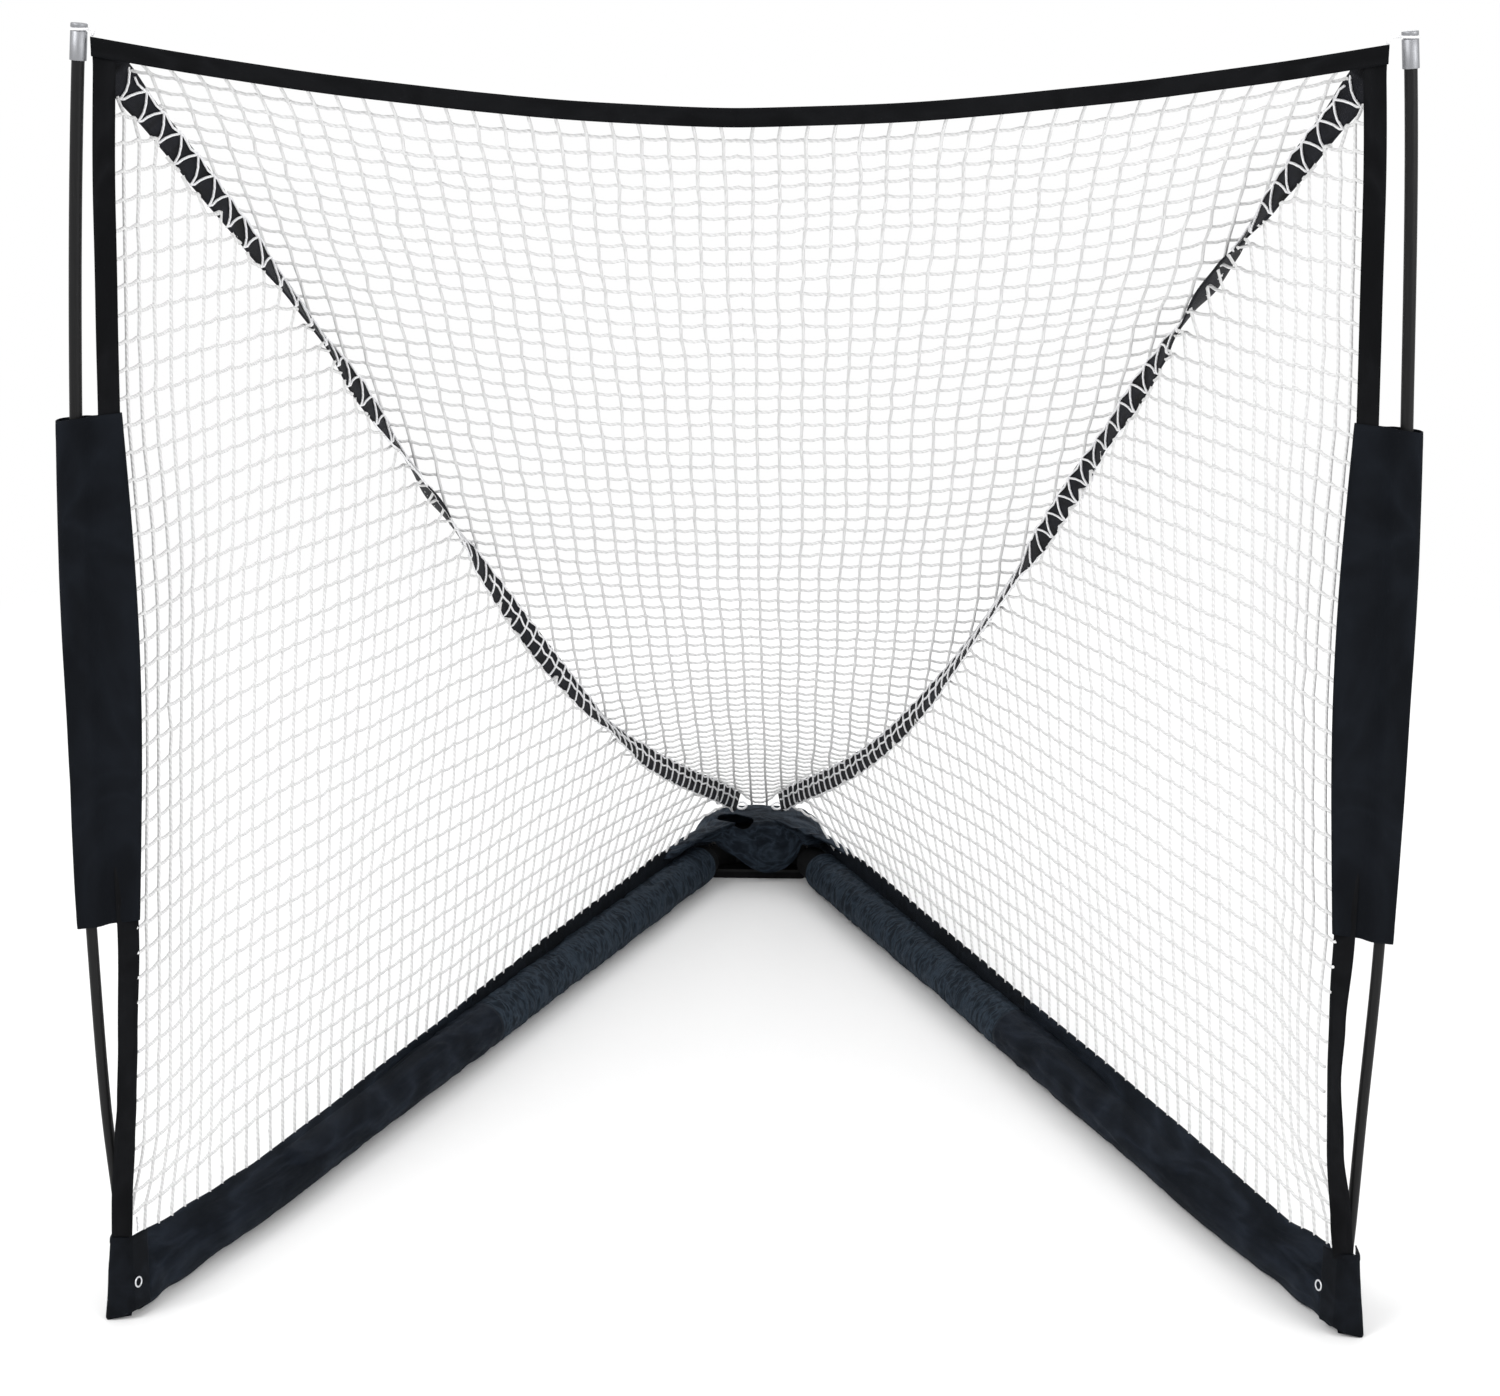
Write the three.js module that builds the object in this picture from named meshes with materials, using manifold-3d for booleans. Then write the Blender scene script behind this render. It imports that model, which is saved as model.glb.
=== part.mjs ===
// Folding practice lacrosse goal: two padded steel arms hinged on a rear hub, two bowed
// poles plugged into their front ends, and a net hung from the poles and laced to two straps.
// Millimetres, +Z up. The origin is on the hub's underside, midway between the hinge bolts,
// and the mouth of the goal faces -Y.
import * as THREE from "three";
import { mergeVertices } from "three/addons/utils/BufferGeometryUtils.js";
import Module from "manifold-3d";

const wasm = await Module();
wasm.setup();

// Overall sizes
const MOUTH_DEPTH = 2110; // goal line to the hinge bolts
const POLE_TOP = 1868; // top of a pole's cap above the floor
const GAP = 0.3; // between pieces that touch
const LOOSE = 0.5; // between pieces that slide in each other
const OVERRUN = 2; // how far a cutter runs past the face that it leaves through

// Hub
const PIVOT_X = 45; // centre line to a hinge bolt
const HUB_FRONT_HALF = 100;
const HUB_REAR_HALF = 75;
const HUB_FRONT = 59; // bolts to the front edge of the base
const HUB_REAR = 95; // bolts to its rear edge
const HUB_CORNER = 12;
const BASE_HEIGHT = 14;
const NUT_POCKET_FLOOR = 3.5;
const PLATE = 5;
const LUG_HEIGHT = 51;
const BOLT_DIAMETER = 12;
const BOLT_HEAD_ACROSS = 19;
const BOLT_HEAD_HEIGHT = 7.5;
const NUT_HEIGHT = 8;
const THREAD_BEYOND_NUT = 1.2;
const SPACER_REAR_INSET = 8;
const SPACER_BAR = 40; // front-to-back size of its rear bar
const SPACER_WING = 14;
const SPACER_WING_INSET = 5;

// Arms
const ARM_OFFSET = 40; // hinge bolt to the tube's centre line
const TUBE_DIAMETER = 32;
const TUBE_WALL = 1.5;
const SLEEVE_DIAMETER = 84;
const FABRIC = 2.6;
const FABRIC_LOW = 1.6; // thinner cloth of the pockets
const LUG_EYE_DIAMETER = 24;
const LUG_WEB = 8;
const LUG_DISC = 6;
const TUBE_START = 68; // hinge bolt to the rear end of the tube, along the arm
const SLEEVE_START = 86;
const SECTION_JOINT = 1130; // where the rear and front sections meet
const SPIGOT = 60;
const BUTTON_SETBACK = 28; // joint to the button's centre, on the rear tube
const BUTTON_DIAMETER = 8;
const BUTTON_PROUD = 3.5;
const BUTTON_SPRING_WIDTH = 7;
const BUTTON_SPRING_LENGTH = 34;
const BUTTON_SPRING = 1;
const FLAP_THICKNESS = 3;
const FLAP_TOP = 118;
const FLAP_SIDE = 22; // tube's centre line to the flap
const FLAP_START = 290;

// Front corners
const SOCKET_DIAMETER = 25;
const SOCKET_TOP = 126;
const SOCKET_FLOOR = 20;
const FOOT_LENGTH = 40;
const FOOT_WIDTH = 27;
const FOOT_THICKNESS = 4;
const CORNER_HEIGHT = 142; // top of the fabric corner
const CORNER_OUTER = 918; // centre line to its outer face
const CORNER_INNER = 872;
const CORNER_FRONT = 15.5; // pole's centre plane to its front face
const CORNER_BACK = 17;
const SKIRT_SPREAD = 420; // length over which it widens to the full sleeve
const GROMMET_DIAMETER = 18;
const GROMMET_HOLE = 10;
const GROMMET_THICKNESS = 3;
const GROMMET_HEIGHT = 66;
const GROMMET_SETBACK = 30; // front end of the skirt to the eyelet

// Poles
const POLE_FOOT_X = 888.6; // the pole's centre line at floor height
const POLE_TIP_X = 869.2; // and at its top
const POLE_BOW = 35.8; // how far it bows outward between them
const POLE_LOWER_DIAMETER = 16;
const POLE_UPPER_DIAMETER = 17.5;
const FERRULE_DIAMETER = 20.6;
const FERRULE_LENGTH = 110;
const POLE_JOINT = 945; // height where the two halves of the pole meet
const CAP_DIAMETER = 22.6;
const CAP_HEIGHT = 48.5;
const CAP_PLUG = 18;
const CAP_CHAMFER = 2;
const GROOVE_TOP = 6;
const GROOVE_HEIGHT = 4.4;
const GROOVE_DEPTH = 2.2;
const CORD = 3.6; // lacing and loop cord

// Bands, pockets and straps
const BAND_WIDTH = 30;
const BAND_THICKNESS = 2.4;
const BAND_GAP = 51; // most room between the pole's and the side band's centre lines
const BAND_FORWARD = 12.4; // how far the band's foot passes in front of the pole
const TOP_BAND_INSET = 18.2; // pole's top to the end of the top band
const TOP_BAND_DROP = 18; // and down to its upper edge there
const TOP_BAND_SAG = 87;
const TOP_BAND_HEIGHT = 25;
const POCKET_BOTTOM = 615;
const POCKET_TOP = 1345;
const POCKET_OUTSIDE = 18.5; // pole's centre line to the pocket's outer fold
const POCKET_SEAM = 3; // how far its seam reaches past the band at its ends
const POCKET_BULGE = 18; // and further at its middle
const STRAP_WIDTH = 36;
const STRAP_THICKNESS = 2.8;
const STRAP_INSET = 27; // end of the top band to the start of the strap
const STRAP_DROP = 48; // and down to it
const STRAP_START_BACK = 8; // goal line to the start of the strap
const STRAP_END_X = 38;
const STRAP_END_Y = 45;
const STRAP_END_RISE = 18; // hub cover's top to the end of the strap
const STRAP_SAG = 157;
const STRAP_TWIST = 50; // degrees
const LOOP_RADIUS = 11;

// Net
const NET_BAR = 6;
const NET_THICKNESS = 4;
const NET_PITCH = 150;
const NET_EDGE = 8; // width of the net's doubled edge
const NET_SMALLEST = 10; // a gap with a shorter edge than this is left closed
const NET_END = 12; // end of a strap to the nets' last cord
const NET_HANG = 6; // how far the side net hangs under its strap
const NET_RISE = 5; // how far its foot climbs over the hub's cover
const NET_ROOM = 1.5; // net's front edge to the fabric that it is laced to

// Hub cover
const COVER_TOP = 114;
const COVER_CENTRE_BACK = 5;
const COVER_FOLD = 5; // depth of the folds at its hem
const COVER_FOLDS = 9;

// Sides of round pieces
const TUBE_SIDES = 16;
const CAP_SIDES = 16;
const POLE_SIDES = 12;
const CORD_SIDES = 6;
const RING_STEPS = 16;
const SECTION_SIDES = 18; // sleeves

// Shapes as shares of the sizes above
const bandGapShares = [
  [0.0, 0.0], [0.045, 0.21], [0.12, 0.5], [0.27, 0.92], [0.42, 0.98], [0.68, 1.0],
  [0.8, 0.94], [0.9, 0.82], [1.0, 0.75],
];
const topBandShare = 1.7; // sharpness of the top band's sag
const strapSkewShare = 1.55; // moves the deepest sag towards the hub
const strapRoundShare = 1.3;
const strapTurnShare = 2.5; // waves of twist along the strap
const netSlackShare = 0.85; // sag of the net's top row, of the top band's
const coverRimShares = [
  // angle from +X in turns, reach as a share of HUB_REAR, height as a share of COVER_TOP
  [0.0, 1.42, 0.62], [0.07, 1.46, 0.4], [0.15, 1.6, 0.24], [0.25, 1.3, 0.2],
  [0.35, 1.6, 0.24], [0.43, 1.46, 0.4], [0.5, 1.42, 0.62], [0.57, 1.95, 0.88],
  [0.628, 2.95, 0.91], [0.655, 2.2, 0.98], [0.69, 1.32, 0.88], [0.72, 0.98, 0.5],
  [0.75, 0.98, 0.3], [0.78, 0.98, 0.5], [0.81, 1.32, 0.88], [0.845, 2.2, 0.98],
  [0.872, 2.95, 0.91], [0.93, 1.95, 0.88],
];
const coverEdgeShare = 10; // sharpness of the bend from its top to its hem

// Levels and places that follow from them
const rad = THREE.MathUtils.degToRad;
const tubeHeight = SLEEVE_DIAMETER / 2;
const lowerPlateZ = BASE_HEIGHT + GAP;
const lugZ = lowerPlateZ + PLATE + GAP;
const upperPlateZ = lugZ + LUG_HEIGHT + GAP;
const boltHeadZ = upperPlateZ + PLATE + GAP;
const nutZ = lowerPlateZ - GAP - NUT_HEIGHT;
const topBandHalf = POLE_TIP_X - TOP_BAND_INSET;
const topBandEnd = POLE_TOP - TOP_BAND_DROP;
// Half the skirt's width where it meets the corner: its section's flats clear the tube
const skirtHalf = (TUBE_DIAMETER / 2 + LOOSE) / Math.cos(Math.PI / SECTION_SIDES) + FABRIC;

// Centre line of the left pole, in the goal's mouth: a shallow parabola bowed outward.
function poleX(z) {
  const share = z / POLE_TOP;
  const chord = POLE_FOOT_X + (POLE_TIP_X - POLE_FOOT_X) * share;
  return -(chord + 4 * POLE_BOW * share * (1 - share));
}
const poleAt = (z) => new THREE.Vector3(poleX(z), -MOUTH_DEPTH, z);
const socketMiddle = (SOCKET_FLOOR + SOCKET_TOP) / 2;
const socketAxis = poleAt(SOCKET_TOP).sub(poleAt(SOCKET_FLOOR)).normalize();
const socketAt = (z) => poleAt(socketMiddle).addScaledVector(socketAxis, (z - socketMiddle) / socketAxis.z);

// The tube's centre line, ARM_OFFSET outboard of the bolt, passes through the socket. That
// gives the arm's angle to the goal's centre line and its length from the bolt.
const toSocket = new THREE.Vector2(poleX(tubeHeight) + PIVOT_X, -MOUTH_DEPTH);
const armAngle = Math.atan2(-toSocket.x, MOUTH_DEPTH) - Math.asin(ARM_OFFSET / toSocket.length());
const armDirection = new THREE.Vector2(-Math.sin(armAngle), -Math.cos(armAngle));
const armLength = toSocket.dot(armDirection);

// Geometry helpers
function solidGeometry(positions, triangles) {
  const geometry = new THREE.BufferGeometry();
  const coordinates = positions.flatMap((p) => p.toArray());
  geometry.setAttribute("position", new THREE.Float32BufferAttribute(coordinates, 3));
  geometry.setIndex(triangles.flat());
  geometry.computeVertexNormals();
  return geometry;
}

// A surface of revolution about a curved axis. The profile lists [station, radius]; a
// profile that leaves the axis must come back to it or close on itself.
function turned(axisAt, profile, sides) {
  const positions = [];
  const rings = profile.map(([station, radius]) => {
    const centre = axisAt(station);
    const along = axisAt(station + OVERRUN).sub(axisAt(station - OVERRUN)).normalize();
    const across = new THREE.Vector3(0, 1, 0).addScaledVector(along, -along.y).normalize();
    const third = along.clone().cross(across);
    const count = radius === 0 ? 1 : sides;
    const ring = [];
    for (let i = 0; i < count; i++) {
      const angle = (2 * Math.PI * i) / sides;
      ring.push(positions.length);
      positions.push(centre.clone()
        .addScaledVector(across, radius * Math.cos(angle))
        .addScaledVector(third, radius * Math.sin(angle)));
    }
    return ring;
  });
  const triangles = [];
  const closed = profile[0][1] !== 0;
  const last = closed ? rings.length : rings.length - 1;
  for (let k = 0; k < last; k++) {
    const a = rings[k];
    const b = rings[(k + 1) % rings.length];
    for (let i = 0; i < sides; i++) {
      const j = (i + 1) % sides;
      if (a.length > 1) triangles.push([a[i], a[j], b[i % b.length]]);
      if (b.length > 1) triangles.push([a[j % a.length], b[j], b[i]]);
    }
  }
  return solidGeometry(positions, triangles);
}

// A strip through matching loops of points, closed at both ends. With inner loops it is a
// sheath that is open at both ends. Opposite faces of a strip are split along diagonals that run
// the same way, so they stay parallel where the strip twists.
function lofted(outer, inner) {
  const positions = [];
  const add = (loops) => loops.map((loop) => loop.map((p) => positions.push(p) - 1));
  const rings = add(outer);
  const bores = inner ? add(inner) : null;
  const triangles = [];
  const wall = (a, b) => {
    for (let i = 0; i < a.length; i++) {
      const j = (i + 1) % a.length;
      const opposite = !inner && i >= a.length / 2;
      if (opposite) triangles.push([a[i], a[j], b[j]], [a[i], b[j], b[i]]);
      else triangles.push([a[i], a[j], b[i]], [a[j], b[j], b[i]]);
    }
  };
  for (let k = 0; k + 1 < rings.length; k++) {
    wall(rings[k], rings[k + 1]);
    if (bores) wall(bores[k + 1], bores[k]);
  }
  if (bores) {
    wall(bores[0], rings[0]);
    wall(rings.at(-1), bores.at(-1));
  } else {
    for (let i = 1; i + 1 < rings[0].length; i++) {
      triangles.push([rings[0][0], rings[0][i + 1], rings[0][i]]);
      triangles.push([rings.at(-1)[0], rings.at(-1)[i], rings.at(-1)[i + 1]]);
    }
  }
  return solidGeometry(positions, triangles);
}

// A net laid on a curved surface. Each cell is a convex polygon in the net's two coordinates,
// listed as [a, b, border] with the width of cord along the edge that starts there. Cells
// share their corners, and a cell too small for a gap stays closed.
function netSolid(cells, thickness, place) {
  const index = new Map();
  const corners = [];
  const corner = ([a, b]) => {
    const key = `${a.toFixed(3)} ${b.toFixed(3)}`;
    if (!index.has(key)) index.set(key, corners.push([a, b]) - 1);
    return index.get(key);
  };
  const faces = [];
  const borders = new Map();
  const border = (from, to) => {
    if (!borders.delete(`${to} ${from}`)) borders.set(`${from} ${to}`, [from, to]);
  };
  for (const cell of cells) {
    const rim = cell.map(corner);
    const gap = insetPolygon(cell);
    rim.forEach((from, i) => border(from, rim[(i + 1) % rim.length]));
    if (!gap) {
      for (let i = 1; i + 1 < rim.length; i++) faces.push([rim[0], rim[i], rim[i + 1]]);
      continue;
    }
    const inner = gap.map(corner);
    for (let i = 0; i < rim.length; i++) {
      const j = (i + 1) % rim.length;
      faces.push([rim[i], rim[j], inner[j]]);
      if (inner[i] !== inner[j]) {
        faces.push([rim[i], inner[j], inner[i]]);
        border(inner[j], inner[i]);
      }
    }
  }
  const side = (through) => corners.map(([a, b]) => place(a, b, through));
  const positions = [...side(thickness / 2), ...side(-thickness / 2)];
  const below = corners.length;
  const triangles = faces.flatMap(([a, b, c]) => [[a, b, c], [a + below, c + below, b + below]]);
  for (const [a, b] of borders.values()) triangles.push([a, a + below, b], [b, a + below, b + below]);
  return solidGeometry(positions, triangles);
}

// The gap in a cell: each edge moved in by its cord's width. An edge that vanishes gives its
// two corners the same place, so the gap keeps as many corners as the cell.
function insetPolygon(cell) {
  const edges = cell.map(([a, b, width], i) => {
    const [c, d] = cell[(i + 1) % cell.length];
    const length = Math.hypot(c - a, d - b);
    const [u, v] = [(c - a) / length, (d - b) / length];
    return { u, v, at: [a - v * width, b + u * width] };
  });
  const meet = (e, f) => {
    const turn = e.u * f.v - e.v * f.u;
    const t = ((f.at[0] - e.at[0]) * f.v - (f.at[1] - e.at[1]) * f.u) / turn;
    return [e.at[0] + e.u * t, e.at[1] + e.v * t];
  };
  let active = edges.map((_, i) => i);
  for (;;) {
    if (active.length < 3) return null;
    const points = active.map((e, k) => meet(edges[active.at(k - 1)], edges[e]));
    const lengths = active.map((e, k) => {
      const next = points[(k + 1) % points.length];
      return (next[0] - points[k][0]) * edges[e].u + (next[1] - points[k][1]) * edges[e].v;
    });
    const shortest = lengths.indexOf(Math.min(...lengths));
    if (lengths[shortest] > NET_SMALLEST / 2) {
      return edges.map((_, i) => {
        const next = active.findIndex((e) => e >= i);
        return points[next < 0 ? 0 : next];
      });
    }
    active = active.filter((_, k) => k !== shortest);
  }
}

// Keeps the part of a cell where a * x + b * y <= c. The new edge gets the net's border.
function clipped(cell, a, b, c) {
  const kept = [];
  const beyond = ([x, y]) => a * x + b * y - c;
  cell.forEach((from, i) => {
    const to = cell[(i + 1) % cell.length];
    const [d, e] = [beyond(from), beyond(to)];
    const share = d / (d - e);
    const crossing = [from[0] + (to[0] - from[0]) * share, from[1] + (to[1] - from[1]) * share];
    if (d <= 0) kept.push(from);
    if (d < 0 && e > 0) kept.push([...crossing, NET_EDGE]);
    if (d > 0 && e < 0) kept.push([...crossing, from[2]]);
  });
  return kept;
}

// A rectangle of the net. Its cords are shared with its neighbours, so it has half of each.
function cellOf(x0, x1, y0, y1) {
  const half = NET_BAR / 2;
  return [[x0, y0, half], [x1, y0, half], [x1, y1, half], [x0, y1, half]];
}

function extruded(points, low, high) {
  const shape = points instanceof THREE.Shape ? points : new THREE.Shape(points);
  const options = { depth: high - low, bevelEnabled: false, curveSegments: 6 };
  return new THREE.ExtrudeGeometry(shape, options).translate(0, 0, low);
}

function bar(radius, low, high, x = 0, y = 0, sides = TUBE_SIDES) {
  return new THREE.CylinderGeometry(radius, radius, high - low, sides)
    .rotateX(Math.PI / 2)
    .translate(x, y, (low + high) / 2);
}

function box(xs, ys, zs) {
  return new THREE.BoxGeometry(xs[1] - xs[0], ys[1] - ys[0], zs[1] - zs[0])
    .translate((xs[0] + xs[1]) / 2, (ys[0] + ys[1]) / 2, (zs[0] + zs[1]) / 2);
}

function solid(geometry) {
  const bare = geometry.clone();
  bare.deleteAttribute("normal");
  bare.deleteAttribute("uv");
  const merged = mergeVertices(bare, 1e-3);
  return new wasm.Manifold(new wasm.Mesh({
    numProp: 3,
    vertProperties: merged.attributes.position.array,
    triVerts: new Uint32Array(merged.index.array),
  }));
}

function geometryOf(manifold) {
  const mesh = manifold.getMesh();
  const geometry = new THREE.BufferGeometry();
  geometry.setAttribute("position", new THREE.Float32BufferAttribute(mesh.vertProperties, 3));
  geometry.setIndex([...mesh.triVerts]);
  geometry.computeVertexNormals();
  return geometry;
}

const join = (...parts) => geometryOf(parts.map(solid).reduce((a, b) => a.add(b)));
const cut = (body, ...tools) =>
  geometryOf(tools.map(solid).reduce((a, b) => a.subtract(b), solid(body)));

// Materials
const finish = (color, roughness, metalness) =>
  new THREE.MeshStandardMaterial({ color, roughness, metalness });
const materials = {
  fabric: finish(0x161b24, 0.85, 0),
  webbing: finish(0x14151a, 0.8, 0),
  net: finish(0xd8d8d6, 0.9, 0),
  cord: finish(0xf2f2f0, 0.8, 0),
  foam: finish(0x2c2e33, 0.95, 0),
  steel: finish(0x2a2c2f, 0.5, 0.8),
  zinc: finish(0xb9bcc0, 0.35, 1),
  pole: finish(0x24262a, 0.45, 0),
  cap: finish(0xc9ccd0, 0.3, 1),
  rubber: finish(0x1a1b1d, 0.9, 0),
};

function piece(name, geometry, material) {
  const mesh = new THREE.Mesh(geometry, materials[material]);
  mesh.name = name;
  return mesh;
}

// Hub: base pad, two plates, spacer, hinge bolts and nuts
function hubOutline(grow = 0) {
  const shape = new THREE.Shape();
  const front = [HUB_FRONT_HALF + grow, -HUB_FRONT - grow];
  const rear = [HUB_REAR_HALF + grow, HUB_REAR + grow];
  shape.moveTo(-front[0] + HUB_CORNER, front[1]);
  shape.lineTo(front[0] - HUB_CORNER, front[1]);
  shape.quadraticCurveTo(front[0], front[1], front[0], front[1] + HUB_CORNER);
  shape.lineTo(rear[0], rear[1] - HUB_CORNER);
  shape.quadraticCurveTo(rear[0], rear[1], rear[0] - HUB_CORNER, rear[1]);
  shape.lineTo(-rear[0] + HUB_CORNER, rear[1]);
  shape.quadraticCurveTo(-rear[0], rear[1], -rear[0], rear[1] - HUB_CORNER);
  shape.lineTo(-front[0], front[1] + HUB_CORNER);
  shape.quadraticCurveTo(-front[0], front[1], -front[0] + HUB_CORNER, front[1]);
  return shape;
}

function hexagon(acrossFlats, low, high, x) {
  return bar(acrossFlats / Math.sqrt(3), low, high, x, 0, 6);
}

function hubPlate(low) {
  const hole = BOLT_DIAMETER / 2 + GAP;
  const holes = [-PIVOT_X, PIVOT_X].map((x) => bar(hole, low - OVERRUN, low + PLATE + OVERRUN, x));
  return cut(extruded(hubOutline(-GAP), low, low + PLATE), ...holes);
}

function hubSpacer() {
  const rear = HUB_REAR - SPACER_REAR_INSET;
  const bar0 = rear - SPACER_BAR;
  const outer = HUB_REAR_HALF + SPACER_WING_INSET;
  // The wings' front ends meet the lugs' webs, which stops the arms at their open place.
  const webAngle = Math.atan2(ARM_OFFSET, TUBE_START - LUG_DISC) + armAngle;
  const faceAt = (x) => -(x - PIVOT_X) / Math.tan(webAngle) + (LUG_WEB / 2 + GAP) / Math.sin(webAngle);
  const half = [
    [outer - SPACER_WING, bar0],
    [outer - SPACER_WING, faceAt(outer - SPACER_WING)],
    [outer, faceAt(outer)],
    [HUB_REAR_HALF - SPACER_REAR_INSET, rear],
  ];
  const right = half.map(([x, y]) => new THREE.Vector2(x, y));
  const left = half.map(([x, y]) => new THREE.Vector2(-x, y)).reverse();
  return extruded([...right, ...left], lugZ, lugZ + LUG_HEIGHT);
}

function hub() {
  const group = new THREE.Group();
  const pockets = [-PIVOT_X, PIVOT_X].map((x) =>
    bar(BOLT_HEAD_ACROSS / Math.sqrt(3) + OVERRUN, NUT_POCKET_FLOOR, BASE_HEIGHT + OVERRUN, x));
  group.add(piece("hub_base_pad", cut(extruded(hubOutline(), 0, BASE_HEIGHT), ...pockets), "rubber"));
  group.add(piece("hub_lower_plate", hubPlate(lowerPlateZ), "steel"));
  group.add(piece("hub_upper_plate", hubPlate(upperPlateZ), "steel"));
  group.add(piece("hub_spacer", hubSpacer(), "steel"));
  const shank = BOLT_DIAMETER / 2;
  for (const [side, x] of [["left", -PIVOT_X], ["right", PIVOT_X]]) {
    const bolt = join(
      bar(shank, nutZ - THREAD_BEYOND_NUT, boltHeadZ + PLATE, x),
      hexagon(BOLT_HEAD_ACROSS, boltHeadZ, boltHeadZ + BOLT_HEAD_HEIGHT, x));
    group.add(piece(`hinge_bolt_${side}`, bolt, "zinc"));
    const nut = cut(
      hexagon(BOLT_HEAD_ACROSS, nutZ, nutZ + NUT_HEIGHT, x),
      bar(shank + GAP, nutZ - OVERRUN, nutZ + NUT_HEIGHT + OVERRUN, x));
    group.add(piece(`hinge_nut_${side}`, nut, "zinc"));
  }
  return group;
}

// Cloth cover over the hub: a dome whose hem rises over the arms and droops between them
function hubCover() {
  const rim = coverRimShares.map(([turn, reach, height]) =>
    new THREE.Vector3(
      reach * HUB_REAR * Math.cos(2 * Math.PI * turn),
      reach * HUB_REAR * Math.sin(2 * Math.PI * turn),
      Math.min(height * COVER_TOP, COVER_TOP)));
  const hem = new THREE.CatmullRomCurve3(rim, true, "centripetal");
  const around = 40;
  const steps = 6;
  const surface = (lift) => {
    const loops = [];
    for (let k = 1; k <= steps; k++) {
      const share = Math.sin((Math.PI * k) / steps / 2);
      const loop = [];
      for (let i = 0; i < around; i++) {
        const edge = hem.getPoint(i / around);
        const bend = share ** coverEdgeShare;
        const wave = Math.sin((2 * Math.PI * COVER_FOLDS * i) / around);
        const reach = share * (1 + (COVER_FOLD / edge.length()) * bend * wave);
        loop.push(new THREE.Vector3(
          edge.x * reach,
          COVER_CENTRE_BACK + (edge.y - COVER_CENTRE_BACK) * reach,
          COVER_TOP + (edge.z - COVER_TOP) * bend + lift));
      }
      loops.push(loop);
    }
    return loops;
  };
  const loops = [...surface(FABRIC), ...surface(0).reverse()];
  const positions = loops.flat();
  const top = positions.push(new THREE.Vector3(0, COVER_CENTRE_BACK, COVER_TOP + FABRIC)) - 1;
  const bottom = positions.push(new THREE.Vector3(0, COVER_CENTRE_BACK, COVER_TOP)) - 1;
  const triangles = [];
  const last = loops.length - 1;
  for (let i = 0; i < around; i++) {
    const j = (i + 1) % around;
    triangles.push([top, i, j], [bottom, last * around + j, last * around + i]);
    for (let k = 0; k < last; k++) {
      const [a, b] = [k * around, (k + 1) * around];
      triangles.push([a + i, b + i, a + j], [a + j, b + i, b + j]);
    }
  }
  return solidGeometry(positions, triangles);
}

// Arm pieces, in the arm's own frame: +X along the arm from the bolt, +Y towards the goal's
// inside. The tube's centre line is at y = -ARM_OFFSET.
const sideways = (geometry) => geometry.rotateY(Math.PI / 2);

function tubeAlong(from, to, outer, inner, sides) {
  const axis = (x) => new THREE.Vector3(x, -ARM_OFFSET, tubeHeight);
  return turned(axis, [[from, inner], [from, outer], [to, outer], [to, inner]], sides);
}

function hingeLug() {
  const eye = bar(LUG_EYE_DIAMETER / 2, lugZ, lugZ + LUG_HEIGHT);
  const reach = Math.hypot(TUBE_START - LUG_DISC, ARM_OFFSET);
  const web = box([0, reach], [-LUG_WEB / 2, LUG_WEB / 2], [lugZ, lugZ + LUG_HEIGHT])
    .rotateZ(-Math.atan2(ARM_OFFSET, TUBE_START - LUG_DISC));
  const disc = sideways(bar(TUBE_DIAMETER / 2, TUBE_START - LUG_DISC, TUBE_START - GAP))
    .translate(0, -ARM_OFFSET, tubeHeight);
  const body = join(eye, web, disc);
  const bore = bar(BOLT_DIAMETER / 2 + GAP, lugZ - OVERRUN, lugZ + LUG_HEIGHT + OVERRUN);
  return cut(body, bore);
}

const buttonX = SECTION_JOINT - BUTTON_SETBACK;
const spigotRadius = TUBE_DIAMETER / 2 - TUBE_WALL - GAP;
const spigotBore = spigotRadius - TUBE_WALL;

function buttonHole(low, high) {
  return bar(BUTTON_DIAMETER / 2 + LOOSE, low, high, buttonX, -ARM_OFFSET);
}

function rearTube() {
  const outer = TUBE_DIAMETER / 2;
  const tube = tubeAlong(TUBE_START, SECTION_JOINT, outer, outer - TUBE_WALL, TUBE_SIDES);
  return cut(tube, buttonHole(tubeHeight, tubeHeight + outer + OVERRUN));
}

function frontTube() {
  const axis = (x) => new THREE.Vector3(x, -ARM_OFFSET, tubeHeight);
  const outer = TUBE_DIAMETER / 2;
  const end = armLength - SOCKET_DIAMETER / 2 - GAP;
  const start = SECTION_JOINT + GAP;
  const profile = [
    [SECTION_JOINT - SPIGOT, spigotBore],
    [SECTION_JOINT - SPIGOT, spigotRadius],
    [start, spigotRadius],
    [start, outer],
    [end, outer],
    [end, spigotBore],
  ];
  return cut(turned(axis, profile, TUBE_SIDES), buttonHole(tubeHeight, tubeHeight + outer + OVERRUN));
}

function snapButton() {
  const top = tubeHeight + TUBE_DIAMETER / 2 + BUTTON_PROUD;
  const seat = tubeHeight + Math.sqrt(spigotBore ** 2 - (BUTTON_SPRING_WIDTH / 2) ** 2) - GAP;
  const button = bar(BUTTON_DIAMETER / 2, seat - BUTTON_SPRING / 2, top, buttonX, -ARM_OFFSET);
  const leaf = box(
    [buttonX - BUTTON_SPRING_LENGTH, buttonX + BUTTON_DIAMETER / 2],
    [-ARM_OFFSET - BUTTON_SPRING_WIDTH / 2, -ARM_OFFSET + BUTTON_SPRING_WIDTH / 2],
    [seat - BUTTON_SPRING, seat]);
  return join(button, leaf);
}

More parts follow.
